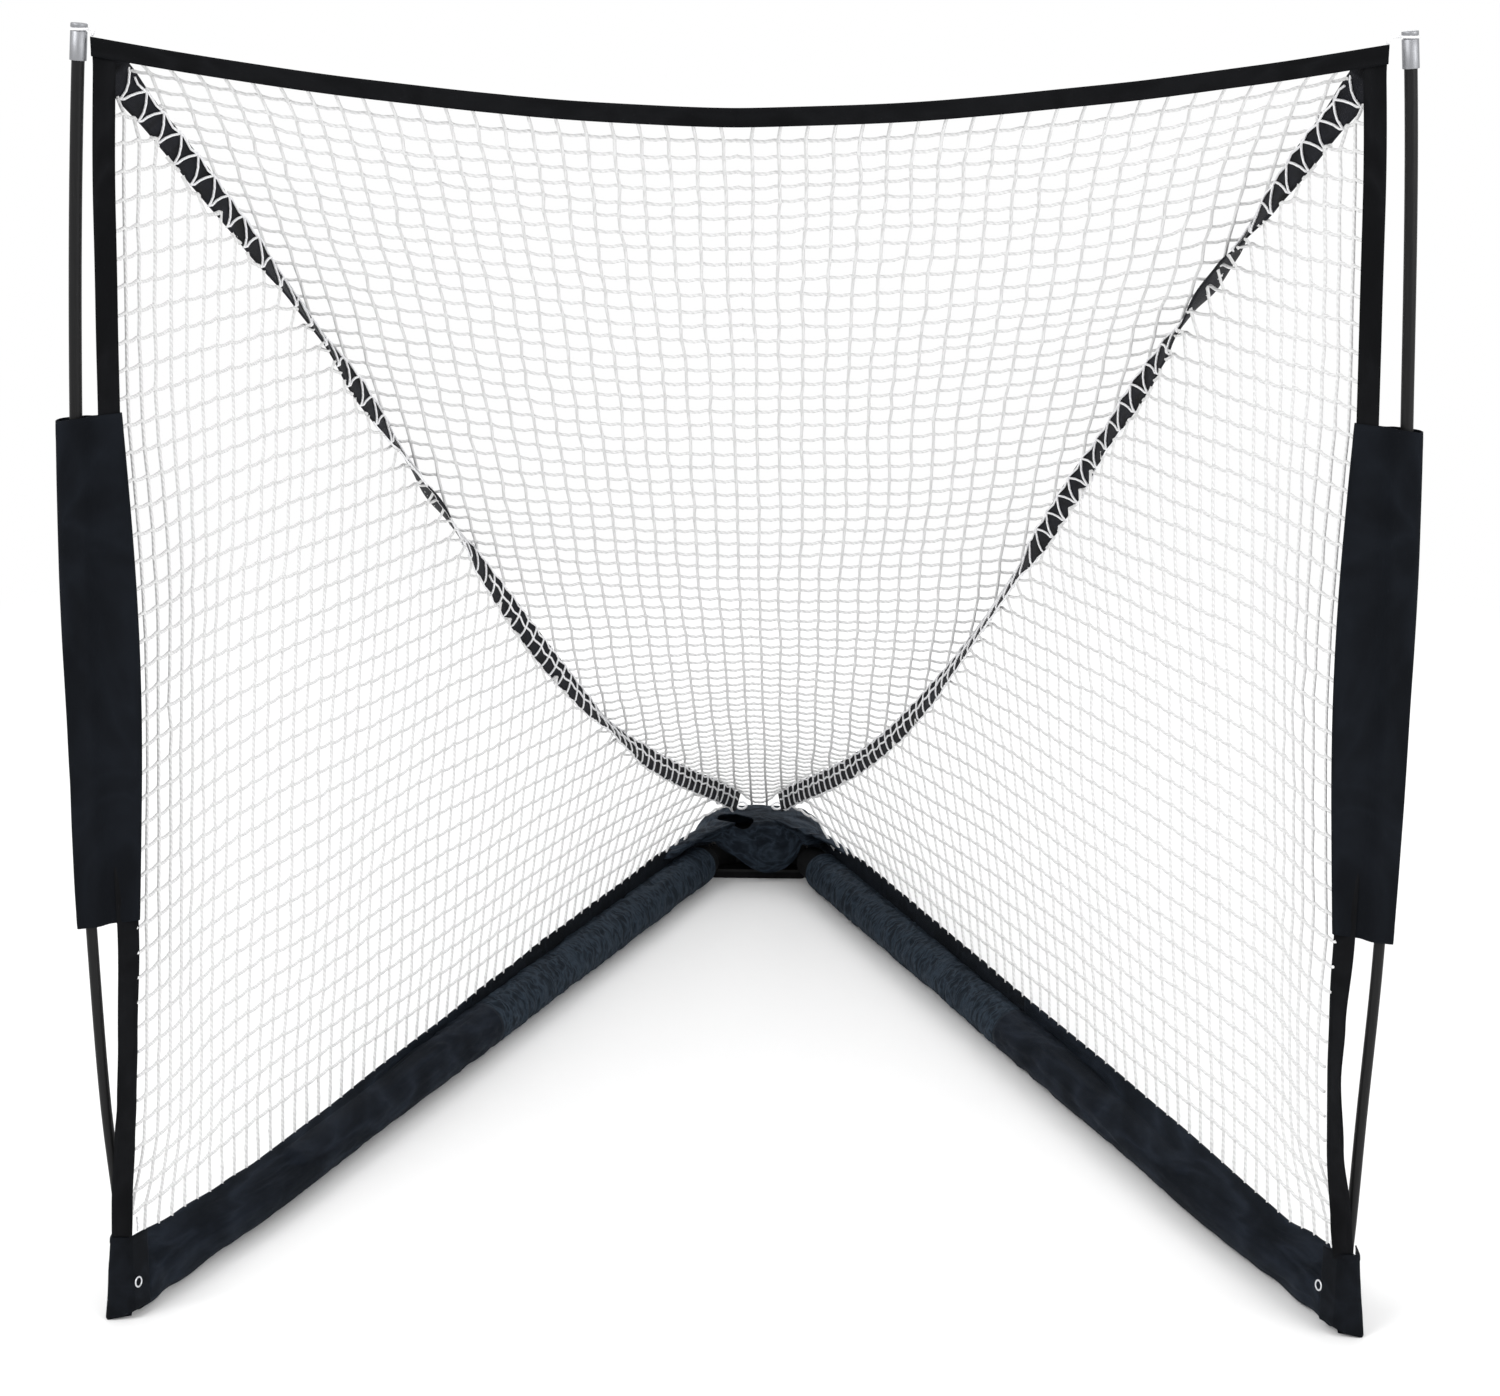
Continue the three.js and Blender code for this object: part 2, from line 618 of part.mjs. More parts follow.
// The sleeve's section: a round sheath with a flat flap that carries the net. A slanted end
// lies across the goal instead of across the arm.
function sleeveLoops(x, half, flapTop, slant) {
  const side = (FLAP_SIDE * half) / tubeHeight;
  const flapAngle = Math.acos(-side / half);
  const spread = FLAP_THICKNESS / SLEEVE_DIAMETER;
  const outer = [];
  const inner = [];
  const place = (y, z, list) => list.push(new THREE.Vector3(x - y * slant, y - ARM_OFFSET, z));
  const at = (angle, shrink, list) =>
    place((half - shrink) * Math.cos(angle), tubeHeight + (tubeHeight - shrink) * Math.sin(angle), list);
  for (let i = 0; i <= SECTION_SIDES; i++) {
    const angle = flapAngle + spread + ((2 * Math.PI - 2 * spread) * i) / SECTION_SIDES;
    at(angle, 0, outer);
    at(angle, FABRIC, inner);
  }
  for (const edge of [1, -1]) {
    place((edge * FLAP_THICKNESS) / 2 - side, flapTop, outer);
    at(flapAngle - (edge * spread) / 2, FABRIC, inner);
  }
  return [outer, inner];
}

function sleeveFrom(stations) {
  const loops = stations.map(([x, half, flapTop, slant = 0]) => sleeveLoops(x, half, flapTop, slant));
  return lofted(loops.map((l) => l[0]), loops.map((l) => l[1]));
}

const bareFlap = SLEEVE_DIAMETER + FABRIC_LOW; // where the sleeve has no flap
const skirtEnd = armLength - (CORNER_BACK + GAP) / Math.cos(armAngle);

function rearSleeve() {
  const full = tubeHeight;
  return sleeveFrom([
    [SLEEVE_START, full, bareFlap],
    [FLAP_START, full, bareFlap],
    [FLAP_START + OVERRUN, full, FLAP_TOP],
    [SECTION_JOINT - GAP, full, FLAP_TOP],
  ]);
}

function skirtAt(x) {
  const share = THREE.MathUtils.clamp((x - (skirtEnd - SKIRT_SPREAD)) / SKIRT_SPREAD, 0, 1);
  const ease = share * share * (3 - 2 * share);
  const half = tubeHeight + (skirtHalf - tubeHeight) * ease;
  return [x, half, FLAP_TOP + (CORNER_HEIGHT - FLAP_TOP) * share, Math.tan(armAngle) * ease];
}

function skirt() {
  const stations = [skirtAt(SECTION_JOINT + GAP)];
  const steps = 6;
  for (let k = 0; k <= steps; k++) stations.push(skirtAt(skirtEnd - SKIRT_SPREAD * (1 - k / steps)));
  const body = sleeveFrom(stations);
  // The eyelet's hole goes through the skirt's inner face.
  const x = skirtEnd - GROMMET_SETBACK;
  const hole = bar(GROMMET_HOLE / 2 + GAP, 0, SLEEVE_DIAMETER)
    .rotateX(-Math.PI / 2).translate(x, -ARM_OFFSET, GROMMET_HEIGHT);
  return cut(body, hole);
}

function grommet() {
  const x = skirtEnd - GROMMET_SETBACK;
  const [, half] = skirtAt(x);
  const rise = (GROMMET_HEIGHT - tubeHeight) / tubeHeight;
  const face = -ARM_OFFSET + half * Math.sqrt(1 - rise * rise);
  const axis = (y) => new THREE.Vector3(0, 0, y);
  const [outer, inner] = [GROMMET_DIAMETER / 2, GROMMET_HOLE / 2];
  const lip = GROMMET_THICKNESS / 3;
  const profile = [
    [0, inner],
    [0, outer - lip],
    [lip, outer],
    [2 * lip, outer],
    [GROMMET_THICKNESS, outer - lip],
    [GROMMET_THICKNESS, inner],
  ];
  const lean = Math.atan2(half * rise, tubeHeight * Math.sqrt(1 - rise * rise));
  return turned(axis, profile, CAP_SIDES).translate(0, 0, GAP)
    .rotateX(-Math.PI / 2 + lean)
    .translate(x, face, GROMMET_HEIGHT);
}

// Front corner pieces, in the goal's frame
function socket() {
  const radius = SOCKET_DIAMETER / 2;
  const bore = POLE_LOWER_DIAMETER / 2 + LOOSE;
  const floor = FABRIC + GAP + FOOT_THICKNESS;
  const profile = [
    [floor - OVERRUN, 0],
    [floor - OVERRUN, radius],
    [SOCKET_TOP, radius],
    [SOCKET_TOP, bore],
    [SOCKET_FLOOR, bore],
    [SOCKET_FLOOR, 0],
  ];
  const centre = socketAt(floor);
  const foot = box(
    [centre.x - FOOT_WIDTH / 2, centre.x + FOOT_WIDTH / 2],
    [centre.y - radius, centre.y - radius + FOOT_LENGTH - radius],
    [FABRIC + GAP, floor]);
  return join(turned(socketAt, profile, TUBE_SIDES), foot);
}

// A fabric cup round the socket, open at the top and towards the arm. Its inner wall slants
// back to meet the skirt.
function cornerPocket() {
  const front = -MOUTH_DEPTH - CORNER_FRONT;
  const back = -MOUTH_DEPTH + CORNER_BACK;
  const skirtInner = poleX(tubeHeight) + CORNER_BACK * Math.tan(armAngle) + skirtHalf / Math.cos(armAngle);
  const plan = (wall, past) => {
    const run = (skirtInner + CORNER_INNER) / (back - front);
    return [
      [-CORNER_OUTER + wall, front + wall],
      [-CORNER_INNER - wall + run * wall, front + wall],
      [skirtInner - wall + run * past, back + past],
      [-CORNER_OUTER + wall, back + past],
    ].map(([x, y]) => new THREE.Vector2(x, y));
  };
  return cut(
    extruded(plan(0, 0), 0, CORNER_HEIGHT),
    extruded(plan(FABRIC, OVERRUN), FABRIC, CORNER_HEIGHT + OVERRUN));
}

// Poles
function rod(low, high, radius) {
  const profile = [[low, 0]];
  const steps = Math.ceil((high - low) / (POLE_TOP / 16));
  for (let k = 0; k <= steps; k++) profile.push([low + ((high - low) * k) / steps, radius]);
  profile.push([high, 0]);
  return turned(poleAt, profile, POLE_SIDES);
}

function poleParts(side) {
  const lower = POLE_LOWER_DIAMETER / 2;
  const upper = POLE_UPPER_DIAMETER / 2;
  const capFoot = POLE_TOP - CAP_HEIGHT;
  const group = new THREE.Group();
  group.add(piece(`${side}_pole_lower`, rod(SOCKET_FLOOR + GAP, POLE_JOINT, lower), "pole"));
  group.add(piece(`${side}_pole_upper`, rod(POLE_JOINT + GAP, POLE_TOP - CAP_PLUG, upper), "pole"));
  const ferrule = turned(poleAt, [
    [POLE_JOINT - FERRULE_LENGTH / 2, lower + GAP],
    [POLE_JOINT - FERRULE_LENGTH / 2, FERRULE_DIAMETER / 2],
    [POLE_JOINT + FERRULE_LENGTH / 2, FERRULE_DIAMETER / 2],
    [POLE_JOINT + FERRULE_LENGTH / 2, upper + GAP],
    [POLE_JOINT, upper + GAP],
    [POLE_JOINT, lower + GAP],
  ], CAP_SIDES);
  group.add(piece(`${side}_pole_ferrule`, ferrule, "zinc"));
  const radius = CAP_DIAMETER / 2;
  const grooveTop = POLE_TOP - GROOVE_TOP;
  const cap = turned(poleAt, [
    [POLE_TOP - CAP_PLUG + GAP, 0],
    [POLE_TOP - CAP_PLUG + GAP, upper + GAP],
    [capFoot, upper + GAP],
    [capFoot, radius - CAP_CHAMFER / 2],
    [capFoot + CAP_CHAMFER, radius],
    [grooveTop - GROOVE_HEIGHT, radius],
    [grooveTop - GROOVE_HEIGHT, radius - GROOVE_DEPTH],
    [grooveTop, radius - GROOVE_DEPTH],
    [grooveTop, radius],
    [POLE_TOP - CAP_CHAMFER, radius],
    [POLE_TOP, radius - CAP_CHAMFER],
    [POLE_TOP, 0],
  ], CAP_SIDES);
  group.add(piece(`${side}_pole_cap`, cap, "cap"));
  return group;
}

// Side band: room to the pole follows the shares, and its foot passes in front of the pole.
const bandPlaces = bandGapShares.map(([height, room]) =>
  new THREE.Vector3(height * POLE_TOP, room * BAND_GAP, 0));
const bandRoom = new THREE.CatmullRomCurve3(bandPlaces, false, "catmullrom");
function bandX(z) {
  let [low, high] = [0, 1];
  for (let i = 0; i < 30; i++) {
    const middle = (low + high) / 2;
    if (bandRoom.getPoint(middle).x < z) low = middle;
    else high = middle;
  }
  return poleX(z) + bandRoom.getPoint(low).y;
}
const bandForward = (z) =>
  BAND_FORWARD * (1 - THREE.MathUtils.smoothstep(z, POCKET_BOTTOM / 2, POCKET_BOTTOM));

function topBandEdge(x) {
  return topBandEnd - TOP_BAND_SAG * (1 - Math.abs(x / topBandHalf) ** topBandShare);
}

// A flat ribbon's section, from its centre and two unit vectors
function ribbonLoop(centre, across, width, through, thickness) {
  return [[-1, -1], [1, -1], [1, 1], [-1, 1]].map(([a, b]) =>
    centre.clone()
      .addScaledVector(across, (a * width) / 2)
      .addScaledVector(through, (b * thickness) / 2));
}
const alongX = new THREE.Vector3(1, 0, 0);
const alongY = new THREE.Vector3(0, 1, 0);
const alongZ = new THREE.Vector3(0, 0, 1);

function sideBand() {
  const low = CORNER_HEIGHT + GAP;
  const topEdge = bandX(topBandEnd - TOP_BAND_HEIGHT) + BAND_WIDTH / 2;
  const high = topBandEdge(topEdge) - TOP_BAND_HEIGHT - GAP;
  const loops = [];
  const steps = 18;
  for (let k = 0; k <= steps; k++) {
    const z = low + ((high - low) * k) / steps;
    const centre = new THREE.Vector3(bandX(z), -MOUTH_DEPTH - bandForward(z), z);
    loops.push(ribbonLoop(centre, alongX, BAND_WIDTH, alongY, BAND_THICKNESS));
  }
  return lofted(loops);
}

function topBand() {
  const loops = [];
  const steps = 24;
  for (let k = 0; k <= steps; k++) {
    const x = -topBandHalf + (2 * topBandHalf * k) / steps;
    const centre = new THREE.Vector3(x, -MOUTH_DEPTH, topBandEdge(x) - TOP_BAND_HEIGHT / 2);
    loops.push(ribbonLoop(centre, alongY, BAND_THICKNESS, alongZ, TOP_BAND_HEIGHT));
  }
  return lofted(loops);
}

// Pole pocket: a flat sheath drawn round the pole, from a fold outside it to a seam inside.
// The side band runs through it beside the seam.
const pocketRadius = FERRULE_DIAMETER / 2 + LOOSE + FABRIC_LOW;
const pocketSeam = BAND_THICKNESS / 2 + LOOSE + FABRIC_LOW;

function pocketInner(z) {
  const share = THREE.MathUtils.clamp((z - POCKET_BOTTOM) / (POCKET_TOP - POCKET_BOTTOM), 0, 1);
  return bandX(z) + BAND_WIDTH / 2 + POCKET_SEAM + POCKET_BULGE * Math.sin(Math.PI * share);
}

function pocketLoop(z, shrink) {
  const radius = pocketRadius - shrink;
  const seam = pocketSeam - shrink;
  const inside = pocketInner(z) - poleX(z) - shrink;
  const outside = POCKET_OUTSIDE - shrink;
  const touch = (reach) => Math.acos(Math.min(radius / Math.hypot(reach, seam), 1)) + Math.atan2(seam, reach);
  const [from, to] = [touch(inside), Math.PI - touch(outside)];
  const front = [[inside, seam]];
  const steps = 3;
  for (let k = 0; k <= steps; k++) {
    const angle = from + ((to - from) * k) / steps;
    front.push([radius * Math.cos(angle), radius * Math.sin(angle)]);
  }
  front.push([-outside, seam]);
  const back = front.map(([x, y]) => [x, -y]).reverse();
  return [...front, ...back].map(([x, y]) => new THREE.Vector3(poleX(z) + x, y - MOUTH_DEPTH, z));
}

function polePocket() {
  const outer = [];
  const inner = [];
  const steps = 7;
  for (let k = 0; k <= steps; k++) {
    const z = POCKET_BOTTOM + ((POCKET_TOP - POCKET_BOTTOM) * k) / steps;
    outer.push(pocketLoop(z, 0));
    inner.push(pocketLoop(z, FABRIC_LOW));
  }
  return lofted(outer, inner);
}

// Strap from the mouth's top corner to the hub, sagging and twisting on its way
const strapStart = new THREE.Vector3(
  -topBandHalf + STRAP_INSET, -MOUTH_DEPTH + STRAP_START_BACK, topBandEnd - STRAP_DROP);
const strapStop = new THREE.Vector3(-STRAP_END_X, STRAP_END_Y, COVER_TOP + STRAP_END_RISE);
function strapCentre(share) {
  const point = strapStart.clone().lerp(strapStop, share);
  const held = THREE.MathUtils.clamp(share, 0, 1);
  point.z -= STRAP_SAG * Math.sin(Math.PI * held ** strapSkewShare) ** strapRoundShare;
  return point;
}
function strapFrame(share) {
  const centre = strapCentre(share);
  const step = 1e-3;
  const ahead = strapCentre(Math.min(share + step, 1));
  const along = ahead.sub(strapCentre(Math.max(share - step, 0))).normalize();
  const level = new THREE.Vector3(along.y, -along.x, 0).normalize();
  const normal = along.clone().cross(level).normalize();
  const twist = rad(STRAP_TWIST) * Math.sin(2 * Math.PI * strapTurnShare * share);
  const across = level.clone().multiplyScalar(Math.cos(twist)).addScaledVector(normal, Math.sin(twist));
  return { centre, along, across, through: along.clone().cross(across).normalize() };
}

function strap() {
  const loops = [];
  const steps = 40;
  for (let k = 0; k <= steps; k++) {
    const { centre, across, through } = strapFrame(k / steps);
    loops.push(ribbonLoop(centre, across, STRAP_WIDTH, through, STRAP_THICKNESS));
  }
  return lofted(loops);
}

// Cord loops: a ring round the cap's groove with a leg to the band, and the ties at the
// corner and at the hub
function cordRing(centre, radius, normal) {
  const turn = new THREE.Quaternion().setFromUnitVectors(new THREE.Vector3(0, 0, 1), normal);
  return new THREE.TorusGeometry(radius, CORD / 2, CORD_SIDES, RING_STEPS)
    .applyQuaternion(turn).translate(centre.x, centre.y, centre.z);
}

function capLoop() {
  const grooveZ = POLE_TOP - GROOVE_TOP - GROOVE_HEIGHT / 2;
  const centre = poleAt(grooveZ);
  const axis = poleAt(grooveZ + OVERRUN).sub(poleAt(grooveZ - OVERRUN)).normalize();
  const radius = CAP_DIAMETER / 2 - GROOVE_DEPTH + CORD / 2 + GAP;
  const inward = new THREE.Vector3(axis.z, 0, -axis.x);
  const from = centre.clone().addScaledVector(inward, radius + CORD / 2 - GAP);
  const to = new THREE.Vector3(-topBandHalf + CORD / 2, centre.y, topBandEnd + GAP + CORD / 2);
  const leg = to.clone().sub(from);
  const middle = from.clone().add(to).divideScalar(2);
  const turn = new THREE.Quaternion().setFromUnitVectors(new THREE.Vector3(0, 1, 0), leg.clone().normalize());
  const cord = new THREE.CylinderGeometry(CORD / 2, CORD / 2, leg.length(), CORD_SIDES)
    .applyQuaternion(turn).translate(middle.x, middle.y, middle.z);
  return join(cordRing(centre, radius, axis), cord);
}

function lowerTie() {
  const height = CORNER_HEIGHT + GAP + CORD + CORD / 2;
  const centre = new THREE.Vector3(-CORNER_INNER - FABRIC / 2, -MOUTH_DEPTH, height);
  return cordRing(centre, CORD, new THREE.Vector3(0, 1, 0));
}

// A ring from the strap's end down to the top of the hub's cover
function hubLoop() {
  const drop = strapStop.z - (COVER_TOP + FABRIC + GAP + CORD / 2);
  const gap = CORD / 2 + 2 * GAP;
  const tilt = Math.asin(Math.min(drop / (gap + 2 * LOOP_RADIUS), 1));
  const down = new THREE.Vector3(0, Math.cos(tilt), -Math.sin(tilt));
  const centre = strapStop.clone().addScaledVector(down, gap + LOOP_RADIUS);
  return cordRing(centre, LOOP_RADIUS, new THREE.Vector3(0, Math.sin(tilt), Math.cos(tilt)));
}

// Nets
const strapLength = Math.hypot(strapStop.x - strapStart.x, strapStop.y - strapStart.y);
const netBeside = (STRAP_WIDTH + NET_THICKNESS) / 2 + STRAP_THICKNESS; // strap's centre line to a net's edge
const inwardOfArm = new THREE.Vector3(Math.cos(armAngle), -Math.sin(armAngle), 0);

// Plan place of the flap's top edge, at a distance from the bolt along the arm
function flapPlan(x) {
  const [, half] = skirtAt(x);
  const side = -ARM_OFFSET - (FLAP_SIDE * half) / tubeHeight;
  return new THREE.Vector2(-PIVOT_X, 0)
    .addScaledVector(armDirection, x)
    .add(new THREE.Vector2(-armDirection.y * side, armDirection.x * side));
}

// The side net hangs between the band, the strap and the flap. p runs back from the mouth.
const sideNetEnd = strapLength - NET_END;
const sideNetTop = (p) => strapCentre(p / strapLength).z - NET_HANG;
function sideNetFloor(p) {
  const [, , flap] = skirtAt(armLength - p);
  const rise = THREE.MathUtils.smoothstep(p, armLength - FLAP_START, sideNetEnd);
  return flap + GAP + rise * NET_RISE;
}
function sideNetPlace(p, z, through) {
  const share = p / strapLength;
  const { centre, across } = strapFrame(share);
  const edge = centre.clone().addScaledVector(across, -netBeside);
  const floor = sideNetFloor(p);
  const rise = THREE.MathUtils.clamp((z - floor) / Math.max(sideNetTop(p) - floor, GAP), 0, 1);
  const foot = flapPlan(armLength - p * (armLength / strapLength));
  const point = new THREE.Vector3(foot.x + (edge.x - foot.x) * rise, foot.y + (edge.y - foot.y) * rise, z);
  point.z += (edge.z - centre.z) * rise;
  const mouthX = pocketInner(z) + NET_ROOM + NET_THICKNESS / 2;
  const nearMouth = 1 - THREE.MathUtils.smoothstep(p, 0, NET_PITCH);
  point.x += (mouthX - point.x) * nearMouth;
  point.y += (-MOUTH_DEPTH - point.y) * nearMouth;
  return point.addScaledVector(inwardOfArm, through);
}

function sideNet() {
  const columns = Math.round(sideNetEnd / NET_PITCH);
  const width = sideNetEnd / columns;
  const rows = Math.ceil((sideNetTop(0) - FLAP_TOP) / NET_PITCH);
  const cells = [];
  for (let i = 0; i < columns; i++) {
    const [x0, x1] = [i * width, (i + 1) * width];
    const slope = (level) => (level(x1) - level(x0)) / width;
    const [over, under] = [slope(sideNetTop), slope(sideNetFloor)];
    for (let j = 0; j < rows; j++) {
      let cell = cellOf(x0, x1, FLAP_TOP + j * NET_PITCH, FLAP_TOP + (j + 1) * NET_PITCH);
      if (i === 0) cell[3][2] = NET_EDGE;
      if (i === columns - 1) cell[1][2] = NET_EDGE;
      cell = clipped(cell, -over, 1, sideNetTop(x0) - over * x0);
      if (cell.length > 2) cell = clipped(cell, under, -1, -sideNetFloor(x0) + under * x0);
      if (cell.length > 2) cells.push(cell);
    }
  }
  return netSolid(cells, NET_THICKNESS, sideNetPlace);
}

// The back net slopes from the top band to the hub between the two straps. The second
// coordinate runs down the straight line between a strap's ends.
const strapSlope = strapStart.distanceTo(strapStop);
const backNetHalf = (down) => -strapStart.clone().lerp(strapStop, down / strapSlope).x - netBeside;
function backNetPlace(x, down, through) {
  const share = down / strapSlope;
  const { centre, across, along } = strapFrame(share);
  const edge = centre.clone().addScaledVector(across, netBeside);
  const ratio = x / backNetHalf(down);
  const slack = TOP_BAND_SAG * netSlackShare * (1 - share) ** 2;
  const point = new THREE.Vector3(ratio * Math.abs(edge.x), centre.y, centre.z - slack * (1 - ratio * ratio));
  const nearStrap = ratio ** 6;
  point.y += (edge.y - centre.y) * nearStrap;
  point.z += (edge.z - centre.z) * nearStrap;
  if (share === 0) {
    point.y = -MOUTH_DEPTH;
    point.z = topBandEdge(x) - TOP_BAND_HEIGHT - GAP - NET_THICKNESS / 2;
  }
  const up = new THREE.Vector3(0, -along.z, along.y).normalize();
  return point.addScaledVector(up, through);
}

function backNet() {
  const end = strapSlope - NET_END;
  const rows = Math.round(end / NET_PITCH);
  const height = end / rows;
  const columns = Math.ceil(backNetHalf(0) / NET_PITCH);
  const width = backNetHalf(0) / columns;
  const taper = (backNetHalf(0) - backNetHalf(end)) / end;
  const cells = [];
  for (let j = 0; j < rows; j++) {
    for (let i = -columns; i < columns; i++) {
      let cell = cellOf(i * width, (i + 1) * width, j * height, (j + 1) * height);
      if (j === 0) cell[0][2] = NET_EDGE;
      if (j === rows - 1) cell[2][2] = NET_EDGE;
      cell = clipped(cell, i < 0 ? -1 : 1, taper, backNetHalf(0));
      if (cell.length > 2) cells.push(cell);
    }
  }
  return netSolid(cells, NET_THICKNESS, backNetPlace);
}

// One side of the goal, built as the left one. Pieces of the arm turn about its hinge bolt.
function armSide(side) {
  const group = new THREE.Group();
  const arm = new THREE.Group();
  arm.position.x = -PIVOT_X;
  arm.rotation.z = Math.atan2(armDirection.y, armDirection.x);
  const padRadius = (SLEEVE_DIAMETER / 2 - FABRIC) * Math.cos(Math.PI / SECTION_SIDES) - GAP;
  const padBore = TUBE_DIAMETER / 2 + GAP;
  const rearPadEnd = buttonX - 2 * BUTTON_DIAMETER;
  const frontPadEnd = skirtEnd - SKIRT_SPREAD - GAP;
  arm.add(piece(`${side}_hinge_lug`, hingeLug(), "steel"));
  arm.add(piece(`${side}_rear_tube`, rearTube(), "steel"));
  arm.add(piece(`${side}_front_tube`, frontTube(), "steel"));
  arm.add(piece(`${side}_snap_button`, snapButton(), "zinc"));
  const pad = (from, to) => tubeAlong(from, to, padRadius, padBore, TUBE_SIDES);
  arm.add(piece(`${side}_rear_pad`, pad(SLEEVE_START + FABRIC, rearPadEnd), "foam"));
  arm.add(piece(`${side}_front_pad`, pad(SECTION_JOINT + FABRIC, frontPadEnd), "foam"));
  arm.add(piece(`${side}_rear_sleeve`, rearSleeve(), "fabric"));
  arm.add(piece(`${side}_skirt`, skirt(), "fabric"));
  arm.add(piece(`${side}_grommet`, grommet(), "zinc"));
  group.add(arm);
  group.add(piece(`${side}_socket`, socket(), "steel"));
  group.add(piece(`${side}_corner_pocket`, cornerPocket(), "fabric"));
  group.add(piece(`${side}_side_band`, sideBand(), "fabric"));
  group.add(piece(`${side}_pole_pocket`, polePocket(), "fabric"));
  group.add(piece(`${side}_strap`, strap(), "webbing"));
  group.add(piece(`${side}_side_net`, sideNet(), "net"));
  group.add(piece(`${side}_cap_loop`, capLoop(), "cord"));
  group.add(piece(`${side}_lower_tie`, lowerTie(), "cord"));
  group.add(piece(`${side}_hub_loop`, hubLoop(), "cord"));
  group.add(poleParts(side));
  return group;
}

const goal = new THREE.Group();
goal.add(hub());
goal.add(piece("hub_cover", hubCover(), "fabric"));
goal.add(piece("back_net", backNet(), "net"));
goal.add(piece("top_band", topBand(), "fabric"));
goal.add(armSide("left"));
const mirrored = armSide("right");
mirrored.scale.x = -1;
goal.add(mirrored);

export default goal;
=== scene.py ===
# %% [markdown]
# A folding practice goal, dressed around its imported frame. Steel arms in padded sleeves hinge on
# a rear hub, two bowed poles stand in the front corners, and a net hangs from a cloth band, two
# twisted straps and the sleeves. The frame says where everything is. This file says how it looks.

import math

import bmesh
import bpy
from mathutils import Matrix, Quaternion, Vector, noise


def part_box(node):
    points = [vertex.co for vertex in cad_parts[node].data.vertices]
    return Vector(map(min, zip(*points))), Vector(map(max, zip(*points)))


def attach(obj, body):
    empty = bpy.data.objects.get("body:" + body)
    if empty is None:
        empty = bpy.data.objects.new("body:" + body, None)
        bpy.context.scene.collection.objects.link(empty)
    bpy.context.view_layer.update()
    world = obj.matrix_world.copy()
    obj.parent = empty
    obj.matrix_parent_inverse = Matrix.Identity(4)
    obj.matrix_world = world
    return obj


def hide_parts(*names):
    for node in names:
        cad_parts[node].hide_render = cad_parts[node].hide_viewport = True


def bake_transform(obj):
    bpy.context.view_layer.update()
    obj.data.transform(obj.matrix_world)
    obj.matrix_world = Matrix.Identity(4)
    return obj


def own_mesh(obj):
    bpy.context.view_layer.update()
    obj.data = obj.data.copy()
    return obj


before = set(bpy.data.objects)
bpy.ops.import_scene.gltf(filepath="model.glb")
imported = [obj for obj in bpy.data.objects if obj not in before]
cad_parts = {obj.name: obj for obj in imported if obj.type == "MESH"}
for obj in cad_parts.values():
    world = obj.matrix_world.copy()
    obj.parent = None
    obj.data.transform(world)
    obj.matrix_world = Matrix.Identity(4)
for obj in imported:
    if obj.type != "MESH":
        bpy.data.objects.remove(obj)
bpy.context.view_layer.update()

# %% [markdown]
# The camera stands in front of the mouth, a little above the goal, and looks down at it. Its
# place, lens and tilt come from fitting the goal's known corners to the picture. The order of
# the three turns matters: heading about the upright, then tilt, then roll about its own view.

# %% Camera
CAMERA_PLACE = Vector((0.099, -6.065, 2.031))
CAMERA_HEADING = math.radians(1.126)
CAMERA_DOWN = math.radians(15.186)
CAMERA_ROLL = math.radians(0.295)
CAMERA_LENS = 70.8
CAMERA_REACH = 60

camera = bpy.data.objects.new("camera", bpy.data.cameras.new("camera"))
camera.data.lens = CAMERA_LENS
camera.data.clip_end = CAMERA_REACH
heading = Matrix.Rotation(CAMERA_HEADING, 4, "Z")
tilt = Matrix.Rotation(math.pi / 2 - CAMERA_DOWN, 4, "X")
roll = Matrix.Rotation(CAMERA_ROLL, 4, "Z")
camera.matrix_world = Matrix.Translation(CAMERA_PLACE) @ heading @ tilt @ roll
bpy.context.collection.objects.link(camera)
bpy.context.scene.camera = camera
bpy.context.scene.view_settings.view_transform = "Standard"
print("camera:", round(CAMERA_PLACE.length, 2), "m from the hub")

# %% [markdown]
# Every finish is a small graph of nodes. These helpers keep the graphs short: one adds a node
# and links its inputs, one starts a material with its main shader. Constants go straight onto
# the shader's own sockets, so an exporter finds them.

# %% Node helpers
def add_node(tree, kind, inputs=(), **settings):
    """Adds a node. Inputs are (socket, value or another node's output)."""
    node = tree.nodes.new(kind)
    for name, value in settings.items():
        setattr(node, name, value)
    for socket, value in inputs:
        if isinstance(value, bpy.types.NodeSocket):
            tree.links.new(value, node.inputs[socket])
        else:
            node.inputs[socket].default_value = value
    return node


def math_node(tree, operation, *values):
    node = add_node(tree, "ShaderNodeMath", enumerate(values), operation=operation)
    return node.outputs[0]


def rgba(colour):
    return (*colour, 1)


def start_material(name, colour, roughness, **sockets):
    """A material with a Principled shader, its colour and its plain values set."""
    material = bpy.data.materials.new(name)
    material.use_nodes = True
    shader = material.node_tree.nodes["Principled BSDF"]
    shader.inputs["Base Color"].default_value = rgba(colour)
    shader.inputs["Roughness"].default_value = roughness
    for socket, value in sockets.items():
        shader.inputs[socket.replace("_", " ")].default_value = value
    material.diffuse_color = rgba(colour)
    return material, material.node_tree, shader


def coordinates(tree, kind="Object"):
    return add_node(tree, "ShaderNodeTexCoord").outputs[kind]


